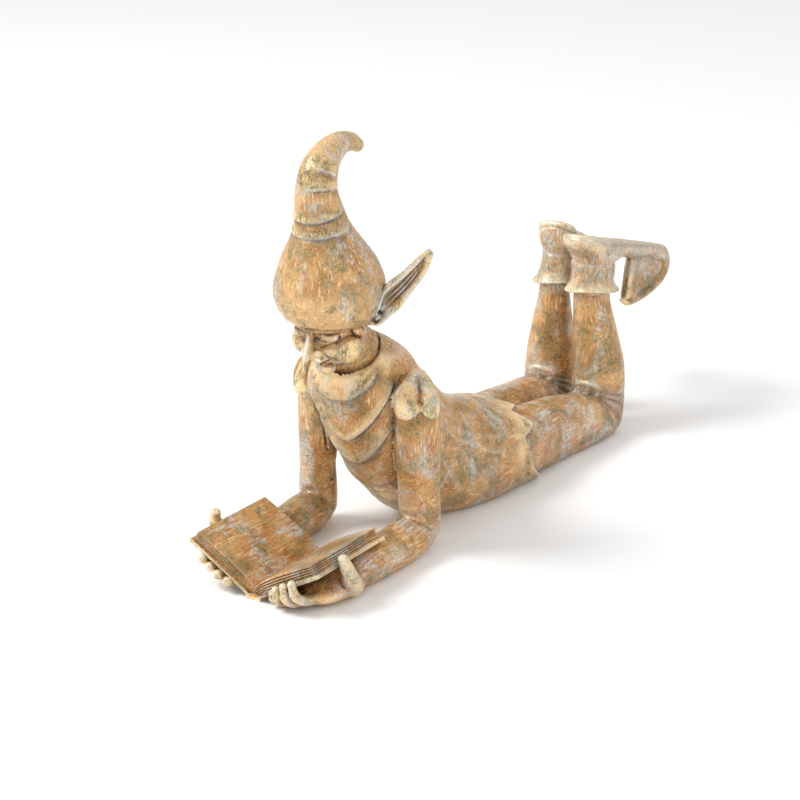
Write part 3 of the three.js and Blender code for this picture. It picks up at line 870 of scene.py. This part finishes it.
# The head, upright about its own centre, facing -Y, and then nodded over the book.
head = {
    "at": (0, -46, 199),
    "nod": 23,
    # upper edge, lower edge and half thickness, from the root to the tip
    "ear": [
        ((22, 3, 2.5), (23.5, 2, -3.5), 3.5),
        ((30.2, 5.7, 2.8), (32.1, 4.4, -3.4), 3.5),
        ((32.2, 8.5, 11.8), (39.9, 4.1, -2.1), 4),
        ((35.6, 14.5, 17.7), (45.5, 9.6, 1.4), 3.8),
        ((39.8, 24.3, 21.7), (50.6, 19.1, 4.4), 3.6),
        ((46.8, 38.7, 24.6), (55.4, 35.6, 11.1), 3.2),
        ((51.7, 51.9, 28), (59.1, 50.3, 16.9), 2.8),
        ((55.3, 61.8, 29.5), (59.3, 62.8, 23.7), 2.2),
    ],
    "earFacing": (0.525, -0.583, 0.619),
    "hat": [
        (-50, 199.5, 32.5),
        (-49.5, 205.5, 37.5),
        (-48.5, 214, 41),
        (-48, 226, 42),
        (-50.5, 239, 38.5),
        (-53, 252, 32),
        (-55, 264, 25),
        (-57, 275, 20),
        (-60, 288, 17.3),
        (-62, 301, 15.5),
        (-58, 314, 14),
        (-47, 323.5, 11.3),
        (-33, 328.5, 8.8),
        (-19, 327.5, 6.9),
        (-10, 323, 5.2),
    ],
}
headPlace = Matrix.Translation(head["at"]) @ Matrix.Rotation(math.radians(head["nod"]), 4, "X")


def ear(parts, side):
    facing = unit(np.array(head["earFacing"]))
    flip = np.array([side, 1, 1])

    # dished on the side that faces forward, with a thick rolled rim
    def earSection(share, x, y):
        if y > 0:
            rim = abs(x) ** 2.2
            open_ = min(1.0, max(0.0, share - 0.14) * 9) * (1 - 0.4 * share)
            dished = 1.84 * rim * math.sqrt(max(0.0, 1 - x * x)) - 0.42 * (1 - x * x)
            y = y * (1 - open_) + open_ * dished
        return x, y

    stations = [
        {
            "at": (np.array(upper) + np.array(lower)) / 2 * flip,
            "side": (np.array(lower) - np.array(upper)) / 2 * flip,
            "up": facing * thick * flip,
        }
        for upper, lower, thick in head["ear"]
    ]
    loft(parts, stations, around=64, spacing=1.2, bulge=0.8, shape=earSection)


def headParts():
    parts = []
    ball(parts, (0, 1, 3), (27, 27, 28))
    ball(parts, (0, -8, -17), (19.5, 17.5, 17))
    ball(parts, (0, -20.5, -29.5), (8.5, 7.5, 7))
    fine = {"around": 24, "spacing": 1}
    bridge = [(0, -24.5, 7), (0, -28.5, 0), (0, -33.5, -5), (0, -39.5, -8.6)]
    limb(parts, bridge, [3.0, 3.8, 4.5, 2.3], around=32, spacing=1, bulge=0.9)
    limb(parts, [(0, 14, -46), (0, 11, -39), (0, 7, -30), (0, 3, -14)], [23, 22, 19, 19], around=56)
    limb(parts, [(-8, -23.2, -18.6), (0, -26, -21.8), (8, -23.2, -18.6)], [0.9, 1.6, 0.9], **fine)
    limb(parts, [(-6.5, -22.6, -22.8), (0, -25.2, -25.6), (6.5, -22.6, -22.8)], [1.0, 2.0, 1.0], **fine)
    for side in (-1, 1):
        ball(parts, (side * 18, -11.8, -14.3), (12.2, 12, 12))
        ball(parts, (side * 11, -15, -12), (11, 10.5, 9))
        ball(parts, (side * 5.2, -30.6, -8.6), (3.6, 4.0, 3.2))
        nostril = [(side * 4.6, -30.4, -8.4), (side * 2.6, -34.4, -8.4), (side * 0.8, -38, -8.6)]
        limb(parts, nostril, [3.2, 2.8, 1.8], **fine)
        ball(parts, (side * 11.5, -20.2, 1.6), (8.4, 5.2, 4.6))
        brow = [(side * 3, -23.8, 6.6), (side * 13, -21.4, 7.6), (side * 20, -16.2, 6.4), (side * 24.5, -10.5, 3)]
        limb(parts, brow, [2.2, 2.8, 2.6, 1.8], **fine)
        sideburn = [(side * 26.2, -6, 8), (side * 27.2, -4.4, 1), (side * 26.4, -1.6, -6), (side * 25, 1.5, -11)]
        limb(parts, sideburn, [(3.0, 5.0), (3.0, 5.6), (2.8, 5.0), (1.8, 3.0)], (0.9, -0.35, 0.1), **fine)
        ear(parts, side)
    return parts


def hat(parts):
    rows = head["hat"]
    radii = [radius for _, _, radius in rows]
    limb(parts, [(0, y, z) for y, z, _ in rows], radii, around=96, spacing=2.0, bulge=(0.12, 0.6))


def headAndHat():
    upright = headParts()
    for mesh in upright:
        mesh.transform(headPlace)
    hat(upright)
    made = fused("headAndHat", upright, fineness["head"]["voxel"])
    relaxed(made, 5)
    print("head fused", len(made.data.vertices))
    return made


def inHead(points, side=1):
    return [tuple(headPlace @ Vector((side * x, y, z))) for x, y, z in points]


# Strokes of the face's left half: points, height, width, fade, lime (partly a painted highlight) and dark
# (painted shade).
faceStrokes = [
    # the slit of the eye and its two corners, and the crease of the lid
    (
        [(3.4, -26, 1), (6.2, -25.6, -1.2), (9.6, -25, -3.4), (14.4, -22.8, -2.2), (19.5, -18.6, -1.2)],
        *(1.7, 0.8, 0.15, 0, 1),
    ),
    ([(3.2, -26, 1.2), (4.6, -25.6, 0.6)], 1.2, 1.4, 0, 0, 1),
    ([(18.8, -19, -1.2), (20.2, -18.6, -1.8)], 1.2, 1.4, 0, 0, 1),
    ([(5, -25.4, 4.2), (11, -25, 5.4), (17.5, -20, 4.2)], 0.6, 0.8, 0.25, 0, 0.4),
    # the laughter line under the cheek, and the nostril's upper edge
    (
        [(6.6, -26.6, -13.5), (8.4, -24.6, -18), (11.5, -20, -23.6)]
        + [(16.5, -14.5, -25.6), (22, -8, -24), (26, -3, -20)],
        *(0.9, 1.1, 0.2, 0.45, 0.2),
    ),
    ([(4.4, -29.4, -4.2), (7.4, -28.6, -6), (8.4, -27.8, -9), (7, -28.4, -11.6)], 0.9, 0.8, 0.25, 0, 0.9),
    # both edges of the lock of hair
    ([(24.4, -8.6, 4), (24.6, -7.6, -3), (25, -4.6, -9)], 1, 1, 0.25, 0, 0.8),
    ([(28.6, -4.6, 6), (29.4, -3, 0), (28.6, -0.6, -5)], 0.6, 0.9, 0.25, 0, 0.4),
]


def sculptHead(made):
    tree = treeOf(made)
    for side in (-1, 1):
        for points, height, width, fade, lime, paintedShadow in faceStrokes:
            carve(made, tree, inHead(points, side), "groove", height, width, fade=fade, lime=lime, paintedShadow=paintedShadow)
        earStrokes(made, tree, side)
    # the mouth's groove, painted fully dark as shade
    mouth = acrossBody([(-9, -22.8, -19.6), (-4.6, -26.4, -22.8), (0, -27.6, -24)])
    carve(made, tree, inHead(mouth), "groove", 1.5, 0.9, fade=0.12, paintedShadow=1.0)
    # a painted highlight line along the bridge of the nose, with no carving
    ridge = [(0, -28, 6.5), (0, -31.8, 1), (0, -37, -3.2), (0, -40.4, -7)]
    strokes.append({"path": laid(inHead(ridge), tree), "width": 0.8, "lime": 0.9, "paintedShadow": 0.0})
    hatStrokes(made, tree)


def earStrokes(made, tree, side):
    facing = unit(np.array(head["earFacing"]))
    uppers = curveThrough([upper for upper, _, _ in head["ear"]])
    lowers = curveThrough([lower for _, lower, _ in head["ear"]])

    # points of the ear's front: share along it, and across it from -1 at the lower edge to 1 at the upper
    def onEar(rows):
        points = [uppers(s) * (1 + a) / 2 + lowers(s) * (1 - a) / 2 + facing for s, a in rows]
        return inHead(points, side)

    # The ear's edge gets a pale line, partly lime and partly painted highlight; its ribs, hollow and notch get
    # painted shade.
    edge = [(0.24, 0.3), (0.34, 0.55), (0.5, 0.62), (0.7, 0.6), (0.92, 0.4)]
    carve(made, tree, onEar(edge), "ridge", 1.2, 1.0, fade=0.12, lime=0.9)
    for a, first, last in ((0.25, 0.5, 0.93), (-0.02, 0.48, 0.9), (-0.3, 0.5, 0.86)):
        rib = onEar([(first, a), ((first + last) / 2, (a - 0.03)), (last, a * 0.7)])
        carve(made, tree, rib, "groove", 0.8, 0.8, fade=0.2, paintedShadow=0.6)
    # the hollow of the ear, the flap before it and the notch under it
    for rows, kind, height, width, fade, paintedShadow in (
        ([(0.3, 0.15), (0.36, -0.05), (0.39, -0.35)], "groove", 2.0, 1.7, 0.2, 1.0),
        ([(0.25, -0.35), (0.33, -0.3), (0.38, -0.1)], "ridge", 1.5, 1.4, 0.25, 0.1),
        ([(0.24, -0.2), (0.27, -0.55), (0.33, -0.7)], "groove", 1.1, 1.2, 0.25, 0.9),
    ):
        carve(made, tree, onEar(rows), kind, height, width, fade=fade, paintedShadow=paintedShadow)


def hatStrokes(made, tree):
    path = curveThrough([(0, y, z) for y, z, _ in head["hat"]])
    size = curveThrough([(r, 0, 0) for _, _, r in head["hat"]])

    # a ring round the hat at a share of its length, spanned in degrees from its front
    def band(share, first, last, dip, tilt=0.0):
        centre, radius = path(share), size(share)[0]
        along = unit(path(share + 0.01) - path(share - 0.01))
        side = np.array([1.0, 0, 0])
        front = np.cross(side, along)
        front = front if front[1] < 0 else -front
        points = []
        for i in range(13):
            angle = math.radians(first + (last - first) * i / 12)
            lift = -dip * math.cos(angle) + tilt * math.sin(angle)
            outward = front * math.cos(angle) + side * math.sin(angle)
            points.append(tuple(centre + radius * outward + along * lift))
        return points

    # each lap gets a pale line along its edge, partly lime and partly a painted highlight, and painted shade
    # under it
    for share, first, last, dip, tilt, height in (
        (0.475, -110, 110, 0.5, 0, 1.2),
        (0.548, -130, 130, 1.5, 0, 1.8),
        (0.645, 0, 130, 0.5, 1.0, 1.4),
        (0.70, 15, 100, 0.0, 0, 0.9),
    ):
        points = band(share, first, last, dip, tilt)
        above = tuple(path(min(1, share + 0.12)))
        carve(made, tree, points, "lap", height, 4.5, above, fade=0.25, lime=0.4, paintedShadow=0.25)


# The book: two boards, and on each the leaves, whose edges are cut by grooves.
book = {
    "height": 86,
    "halfWidth": 70,
    "opening": 29.5,
    "board": 3,
    "leaves": 8.5,
    "overhang": 2,
    "x": -8,
    "frontY": -138,
    "leafRows": 5,
    "grooveDepth": 1.3,
    "grooveWidth": 0.8,
}


# The leaves on one half: thick slabs with thin ones set back between them, so that the edges show as lines.
def leafSlabs():
    b = book
    width = b["halfWidth"] - b["overhang"]
    length = b["height"] - 2 * b["overhang"]
    leafTop = b["board"] + b["leaves"]
    # the page's curve from the fore edge to the spine, by four points
    swell = [(width - 1, leafTop), (width * 0.55, leafTop + 1)]
    swell += [(width * 0.16, leafTop + 3.5), (3.5, b["board"] + 5)]
    floor = b["board"] - 0.4
    rows = b["leafRows"]
    gap = b["grooveWidth"] / b["leaves"] / 2
    levels = [0.0]
    for i in range(1, rows):
        levels += [i / rows - gap, i / rows + gap]
    levels.append(1.0)

    def sectionPoint(t, level, inset):
        u = 1 - t
        weights = (u**3, 3 * u * u * t, 3 * u * t * t, t**3)
        x, z = (sum(w * point[k] for w, point in zip(weights, swell)) for k in (0, 1))
        lean = (1 - level) * u**8
        return (x + lean) * (1 - inset / width), floor + (z - floor) * level

    slabs = []
    for i in range(len(levels) - 1):
        inset = b["grooveDepth"] if i % 2 else 0.0
        over = 0.03 if i % 2 else 0.0
        low, high = max(levels[i] - over, 0.0), min(levels[i + 1] + over, 1.0)
        bm = bmesh.new()
        ts = [k / 20 for k in range(21)]
        outline = [sectionPoint(t, low, inset) for t in ts]
        outline += [sectionPoint(t, high, inset) for t in reversed(ts)]
        start = b["frontY"] + b["overhang"] + inset
        face = bm.faces.new([bm.verts.new((x, start, z)) for x, z in outline])
        lifted = bmesh.ops.extrude_face_region(bm, geom=[face], use_keep_orig=True)["geom"]
        back = [g for g in lifted if isinstance(g, bmesh.types.BMVert)]
        bmesh.ops.translate(bm, verts=back, vec=(0, length - 2 * inset, 0))
        # cross cuts give the fore edge points for the painted shade between the leaves to follow
        for k in range(1, 14):
            parts = bm.verts[:] + bm.edges[:] + bm.faces[:]
            cut = (0, start + length * k / 14, 0)
            bmesh.ops.bisect_plane(bm, geom=parts, plane_co=cut, plane_no=(0, 1, 0))
        slabs.append(bm)
    return slabs


def coverBoard():
    b = book
    bm = bmesh.new()
    bmesh.ops.create_cube(bm, size=1)
    bmesh.ops.scale(bm, vec=(b["halfWidth"] + 1, b["height"], b["board"]), verts=bm.verts)
    middle = ((b["halfWidth"] - 1) / 2, b["frontY"] + b["height"] / 2, b["board"] / 2)
    bmesh.ops.translate(bm, vec=middle, verts=bm.verts)
    bmesh.ops.bevel(bm, geom=bm.edges[:], offset=0.8, segments=3, profile=0.5, affect="EDGES")
    return bm


def openBook():
    pieces = []
    for side in (1, -1):
        lean = Matrix.Diagonal((side, 1, 1, 1)) @ Matrix.Rotation(math.radians(-book["opening"]), 4, "Y")
        lean = Matrix.Translation((book["x"], 0, 0)) @ lean
        for bm in [coverBoard()] + leafSlabs():
            bmesh.ops.transform(bm, matrix=lean, verts=bm.verts)
            parts = []
            added(parts, bm)
            pieces.append(objectOf("bookPart", parts[0]))
    parts = []
    ends = [(book["x"], book["frontY"] + share * book["height"], 3) for share in (0, 0.5, 1)]
    limb(parts, ends, [(6.5, 3.4)] * 3, around=40, bulge=0.0)
    made = objectOf("book", parts[0])
    for piece in pieces:
        joined(made, piece)
    print("book", len(made.data.vertices))
    return made


# Everything into one casting.
statue = figure()
sculptFigure(statue)
relaxed(statue, 1)
thinned(statue, fineness["figure"]["triangles"])
top = headAndHat()
sculptHead(top)
relaxed(top, 1)
thinned(top, fineness["head"]["triangles"])
joined(statue, openBook())
joined(statue, top)
print("joined", len(statue.data.vertices), len(statue.data.polygons))


# Cuts the underside flat where the statue stands.
def cutFlat(made, height):
    bm = bmesh.new()
    bm.from_mesh(made.data)
    everything = bm.verts[:] + bm.edges[:] + bm.faces[:]
    ground = {"plane_co": (0, 0, height), "plane_no": (0, 0, -1)}
    bmesh.ops.bisect_plane(bm, geom=everything, dist=1e-4, clear_outer=True, **ground)
    bmesh.ops.holes_fill(bm, edges=[e for e in bm.edges if e.is_boundary], sides=0)
    bmesh.ops.triangulate(bm, faces=[f for f in bm.faces if len(f.verts) > 3])
    bm.to_mesh(made.data)
    bm.free()


cutFlat(statue, -toFrame[2])
statue.data.transform(Matrix.Scale(0.001, 4) @ Matrix.Translation(toFrame))
statue.data.update()
statue.name = "elf_statue_cast"
statue.data.name = "elf_statue_cast"
statue.data.shade_smooth()
statue.data.set_sharp_from_angle(angle=math.radians(50))
print("casting", len(statue.data.polygons), "triangles")


# Patina and painted-light masks, painted where the shape says: red for lime lines, partly painted highlights on
# ridges and fold edges, green for painted shade in hollows and creases, blue for wide hollows.
patina = {
    "strokeReach": 6.0,  # mm
    "limeAndHighlightWidth": 1.5,
    "shadowWidth": 0.6,
    "shortestEdge": 0.3,
    "hollowGain": 9,
    "ridgeHighlightGain": 7,
    "ridgeHighlightFrom": 0.25,
    "wideGain": 6,
}


def paint(mesh):
    co = pointsOf(mesh) * 1000 - np.array(toFrame)
    normals, edges = normalsOf(mesh), edgesOf(mesh)
    size = len(co)
    # how far each point lies below its neighbours, for its distance from them
    bend = ((neighbourMean(co, edges) - co) * normals).sum(1)
    length = np.linalg.norm(co[edges[:, 0]] - co[edges[:, 1]], axis=1)
    count = np.maximum(np.bincount(edges.ravel(), minlength=size), 1)
    spread = (np.bincount(edges[:, 0], length, size) + np.bincount(edges[:, 1], length, size)) / count
    bend = np.clip(bend / np.maximum(spread, patina["shortestEdge"]) ** 2, -1, 1)
    sharp = np.clip(bend * patina["hollowGain"], 0, 1)
    for _ in range(2):
        bend = 0.5 * bend + 0.5 * neighbourMean(bend, edges)
    hollow = np.clip(bend * patina["hollowGain"], 0, 1)
    # the page edges keep their colour beside the thin shadow between them
    board = abs(co[:, 0] - book["x"]) * math.tan(math.radians(book["opening"]))
    inBook = (co[:, 1] < book["frontY"] + book["height"] + 1) & (co[:, 2] > board - 1) & (co[:, 2] < 50)
    hollow[inBook] = sharp[inBook]
    # convex ridges are painted pale as a highlight, in the red mask
    ridge = np.clip(-bend * patina["ridgeHighlightGain"] - patina["ridgeHighlightFrom"], 0, 1)
    wide = bend
    for _ in range(14):
        wide = neighbourMean(wide, edges)
    lime, paintedShadow = np.zeros(size), np.zeros(size)
    # each stroke's pale line, partly lime and partly painted highlight, and its painted shade
    for stroke in strokes:
        chosen, distance, _, along, _ = near(co, stroke["path"], patina["strokeReach"])
        if not len(chosen):
            continue
        ends = np.clip(np.minimum(along, 1 - along) * 8, 0, 1)
        line = np.exp(-((distance / patina["limeAndHighlightWidth"]) ** 2)) * ends
        lime[chosen] = np.maximum(lime[chosen], stroke["lime"] * line)
        deep = np.exp(-((distance / (0.8 * stroke["width"] + patina["shadowWidth"])) ** 2))
        paintedShadow[chosen] = np.maximum(paintedShadow[chosen], stroke["paintedShadow"] * deep)
    colour = np.ones((size, 4), np.float32)
    colour[:, 0] = np.clip(lime + 0.5 * ridge, 0, 1)
    colour[:, 1] = np.clip(np.maximum(paintedShadow, hollow), 0, 1)
    colour[:, 2] = np.clip(0.5 + patina["wideGain"] * wide, 0, 1)
    attribute = mesh.color_attributes.new("patinaAndPaintedLightMask", "FLOAT_COLOR", "POINT")
    attribute.data.foreach_set("color", colour.ravel())


paint(statue.data)
print("patina masks painted")


# Material.
def linear(code):
    values = [int(code[i : i + 2], 16) / 255 for i in (0, 2, 4)]
    return (*[v / 12.92 if v <= 0.04045 else ((v + 0.055) / 1.055) ** 2.4 for v in values], 1.0)


# Adds a node. Settings are its own; inputs are values or the sockets that they come from, by socket.
def node(tree, kind, settings, inputs, output=0):
    made = tree.nodes.new("ShaderNode" + kind)
    for name, value in settings.items():
        setattr(made, name, value)
    for name, value in inputs.items():
        if isinstance(value, bpy.types.NodeSocket):
            tree.links.new(value, made.inputs[name])
        else:
            made.inputs[name].default_value = value
    return made.outputs[output]


bronze = {
    "colours": {
        "ochre": "D3A066",
        "amber": "B07A44",
        "straw": "F4D29C",
        "olive": "75724A",
        "moss": "43472C",
        "lime": "D2D9D8",
        "chalkAndHighlight": "F2F3F0",
        "umber": "38261A",
        "rose": "B98A66",
    },
    "roughness": 0.3,  # waxed, as the highlights on the hat show
    "bump": 0.35,
    "reliefMetres": 0.0006,
    # grain in mm, detail, roughness, stretch, place, distortion; a brush mark is about 1.6 by 14 mm, and the
    # real specks are finer than 1.3 mm and would not show
    "patterns": {
        "upStreak": (1.6, 4, 0.6, (1, 1, 1.6 / 14), (0, 0, 0), 0),
        "lyingStreak": (1.6, 4, 0.6, (1, 1.6 / 14, 1), (3, 0, 1), 0),
        "blotch": (16, 3, 0.6, (1, 1, 1), (1, 5, 2), 0.6),
        "patch": (27.2, 3, 0.6, (1, 1, 1), (7, 2, 9), 0.8),
        "cloud": (22, 4, 0.65, (1, 1, 0.6), (2, 8, 5), 0.5),
        "fine": (3.2, 6, 0.8, (1, 1, 1), (9, 1, 4), 1.2),
        "grit": (2, 5, 0.8, (1, 1, 1), (3, 7, 5), 0.8),
        "speck": (1.3, 3, 0.7, (1, 1, 1), (4, 4, 4), 0),
    },
    # each value's name, how it is made and from what: a range runs from its first number to its second, up to
    # 1 or its third; heights and places are in metres
    "layers": [
        ("standing", "range", "z", 0.055, 0.085),
        ("streak", "pick", "standing", "lyingStreak", "upStreak"),
        ("halfStreak", "product", "streak", 0.5),
        ("halfFine", "product", "fine", 0.5),
        ("brushed", "sum", "halfStreak", "halfFine"),
        # the metal: amber and ochre, and straw where the brush or the wax has rubbed it
        ("ochreShare", "range", "blotch", 0.35, 0.65),
        ("colour", "over", "ochreShare", "amber", "ochre"),
        ("brushedShare", "range", "streak", 0.48, 0.7),
        ("colour", "over", "brushedShare", "colour", "straw"),
        ("rubbedShare", "range", "wide", 0.5, 0.3),
        ("colour", "over", "rubbedShare", "colour", "straw"),
        # a rosier tone low on the body
        ("low", "range", "z", 0.075, 0.02),
        ("behind", "range", "y", -0.12, 0),
        ("lowBehind", "product", "low", "behind"),
        ("rosyPatch", "range", "patch", 0.3, 0.55, 0.7),
        ("rosyShare", "product", "lowBehind", "rosyPatch"),
        ("colour", "over", "rosyShare", "colour", "rose"),
        # green wash, with moss in its finest marks
        ("greenPatch", "range", "patch", 0.42, 0.6),
        ("greenBlotch", "range", "blotch", 0.5, 0.66, 0.45),
        ("greenArea", "sum", "greenPatch", "greenBlotch"),
        ("greenBrushed", "range", "brushed", 0.4, 0.56),
        ("green", "product", "greenArea", "greenBrushed"),
        ("oliveShare", "product", "green", 0.85),
        ("colour", "over", "oliveShare", "colour", "olive"),
        ("mossMarks", "range", "fine", 0.52, 0.62, 0.75),
        ("mossShare", "product", "mossMarks", "greenArea"),
        ("colour", "over", "mossShare", "colour", "moss"),
        # grey lime in scratches, most of it on the boots
        ("high", "range", "z", 0.12, 0.135),
        ("atFeet", "range", "y", 0.08, 0.12, 0.6),
        ("bootShare", "product", "high", "atFeet"),
        ("limePatch", "range", "cloud", 0.48, 0.64),
        ("limeArea", "sum", "limePatch", "bootShare"),
        ("gritPart", "product", "grit", 0.6),
        ("streakPart", "product", "streak", 0.4),
        ("scratched", "sum", "gritPart", "streakPart"),
        ("scratches", "range", "scratched", 0.43, 0.57, 0.72),
        ("limeShare", "product", "limeArea", "scratches"),
        ("colour", "over", "limeShare", "colour", "lime"),
        # umber as painted shade in the hollows, creases and under folds, chalk white along the chasing as lime
        # and as painted highlight, and dark specks
        ("hollowShare", "product", "hollow", 0.85),
        ("colour", "over", "hollowShare", "colour", "umber"),
        ("broken", "range", "fine", 0.36, 0.56),
        ("chasedLimeAndHighlight", "product", "line", "broken"),
        ("chalkHighlightShare", "product", "chasedLimeAndHighlight", 0.8),
        ("colour", "over", "chalkHighlightShare", "colour", "chalkAndHighlight"),
        ("speckShare", "range", "speck", 0.57, 0.67, 0.7),
        ("colour", "over", "speckShare", "colour", "umber"),
        ("covered", "sum", "green", "chasedLimeAndHighlight"),
    ],
}

# How each layer is made: the node, its settings, its sockets in order and the socket that it gives.
layerKinds = {
    "range": ("MapRange", {"interpolation_type": "SMOOTHSTEP"}, ("Value", "From Min", "From Max", "To Max"), 0),
    "pick": ("Mix", {"data_type": "FLOAT"}, (0, 2, 3), 0),
    "over": ("Mix", {"data_type": "RGBA"}, (0, 6, 7), 2),
    "sum": ("Math", {"operation": "ADD", "use_clamp": True}, (0, 1), 0),
    "product": ("Math", {"operation": "MULTIPLY", "use_clamp": True}, (0, 1), 0),
}


# Cast bronze with an antique patina: a warm metal under green and lime washes that catch in the chasing, waxed;
# umber painted in as shade in the hollows and chalk white painted in as highlights along ridges.
def patinatedBronze():
    material = bpy.data.materials.new("patinated cast bronze with painted shade and highlights")
    material.use_nodes = True
    t = material.node_tree
    t.nodes.clear()
    where = node(t, "TexCoord", {}, {}, "Object")
    place = node(t, "SeparateXYZ", {}, {"Vector": where}, "X").node.outputs
    mask = node(t, "VertexColor", {"layer_name": "patinaAndPaintedLightMask"}, {})
    masks = node(t, "SeparateColor", {}, {"Color": mask}, "Red").node.outputs
    made = {name: linear(code) for name, code in bronze["colours"].items()}
    made.update(y=place["Y"], z=place["Z"], line=masks["Red"], hollow=masks["Green"], wide=masks["Blue"])
    for name, (grain, detail, rough, stretch, move, distortion) in bronze["patterns"].items():
        mapped = node(t, "Mapping", {}, {"Vector": where, "Location": move, "Scale": stretch})
        look = {"Scale": 1000 / grain, "Detail": detail, "Roughness": rough, "Distortion": distortion}
        made[name] = node(t, "TexNoise", {}, {"Vector": mapped, **look}, "Fac")
    for name, kind, *sources in bronze["layers"]:
        nodeKind, settings, sockets, output = layerKinds[kind]
        values = [made[source] if isinstance(source, str) else source for source in sources]
        made[name] = node(t, nodeKind, settings, dict(zip(sockets, values)), output)
    bumpy = {"Strength": bronze["bump"], "Distance": bronze["reliefMetres"], "Height": made["brushed"]}
    glossy = {"From Min": 0.3, "From Max": 0.7}
    glossy.update({"To Min": bronze["roughness"] - 0.1, "To Max": bronze["roughness"] + 0.16})
    look = {
        "Base Color": made["colour"],
        "Roughness": node(t, "MapRange", {}, {"Value": made["fine"], **glossy}),
        # the washes hide the metal
        "Metallic": node(t, "MapRange", {}, {"Value": made["covered"], "To Min": 0.3, "To Max": 0.05}),
        "Normal": node(t, "Bump", {}, bumpy),
    }
    shader = node(t, "BsdfPrincipled", {}, look)
    t.links.new(shader, t.nodes.new("ShaderNodeOutputMaterial").inputs["Surface"])
    return material


statue.data.materials.clear()
statue.data.materials.append(patinatedBronze())
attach(statue, "root")
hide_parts("elf_statue")

# Floor, light and camera. Watts, and a world that keeps the paper white.
studio = {
    "floor": "F7F7F7",
    "world": 0.84,
    "key": 64,
    "fill": 8,
    "cameraAt": (0.7979, -1.2906, 0.6216),
    "cameraTurn": (70, 0, 34),
    "lens": 85,
}


def setStudio():
    bm = bmesh.new()
    bmesh.ops.create_grid(bm, x_segments=1, y_segments=1, size=6)
    mesh = bpy.data.meshes.new("floor")
    bm.to_mesh(mesh)
    bm.free()
    floor = objectOf("floor", mesh)
    paper = bpy.data.materials.new("white studio paper")
    paper.use_nodes = True
    shader = paper.node_tree.nodes["Principled BSDF"]
    shader.inputs["Base Color"].default_value = linear(studio["floor"])
    shader.inputs["Roughness"].default_value = 0.9
    mesh.materials.append(paper)
    world = bpy.data.worlds.new("studio")
    world.use_nodes = True
    sky = world.node_tree.nodes["Background"]
    sky.inputs["Color"].default_value = (1, 1, 1, 1)
    sky.inputs["Strength"].default_value = studio["world"]
    bpy.context.scene.world = world
    for name, at, size, power in (
        ("key", (-1.6, -1.4, 2.2), 1.2, studio["key"]),
        ("fill", (2.4, -1.2, 1.6), 2.0, studio["fill"]),
    ):
        light = bpy.data.lights.new(name, "AREA")
        light.size = size
        light.energy = power
        lamp = bpy.data.objects.new(name, light)
        bpy.context.scene.collection.objects.link(lamp)
        lamp.location = at
        lamp.rotation_euler = (Vector((0, 0, 0.1)) - Vector(at)).to_track_quat("-Z", "Y").to_euler()
    camera = bpy.data.objects.new("camera", bpy.data.cameras.new("camera"))
    bpy.context.scene.collection.objects.link(camera)
    camera.location = studio["cameraAt"]
    camera.rotation_euler = [math.radians(a) for a in studio["cameraTurn"]]
    camera.data.lens = studio["lens"]
    camera.data.sensor_width = 36
    camera.data.clip_end = 100
    bpy.context.scene.camera = camera
    bpy.context.scene.view_settings.view_transform = "Standard"


setStudio()
print("studio set")
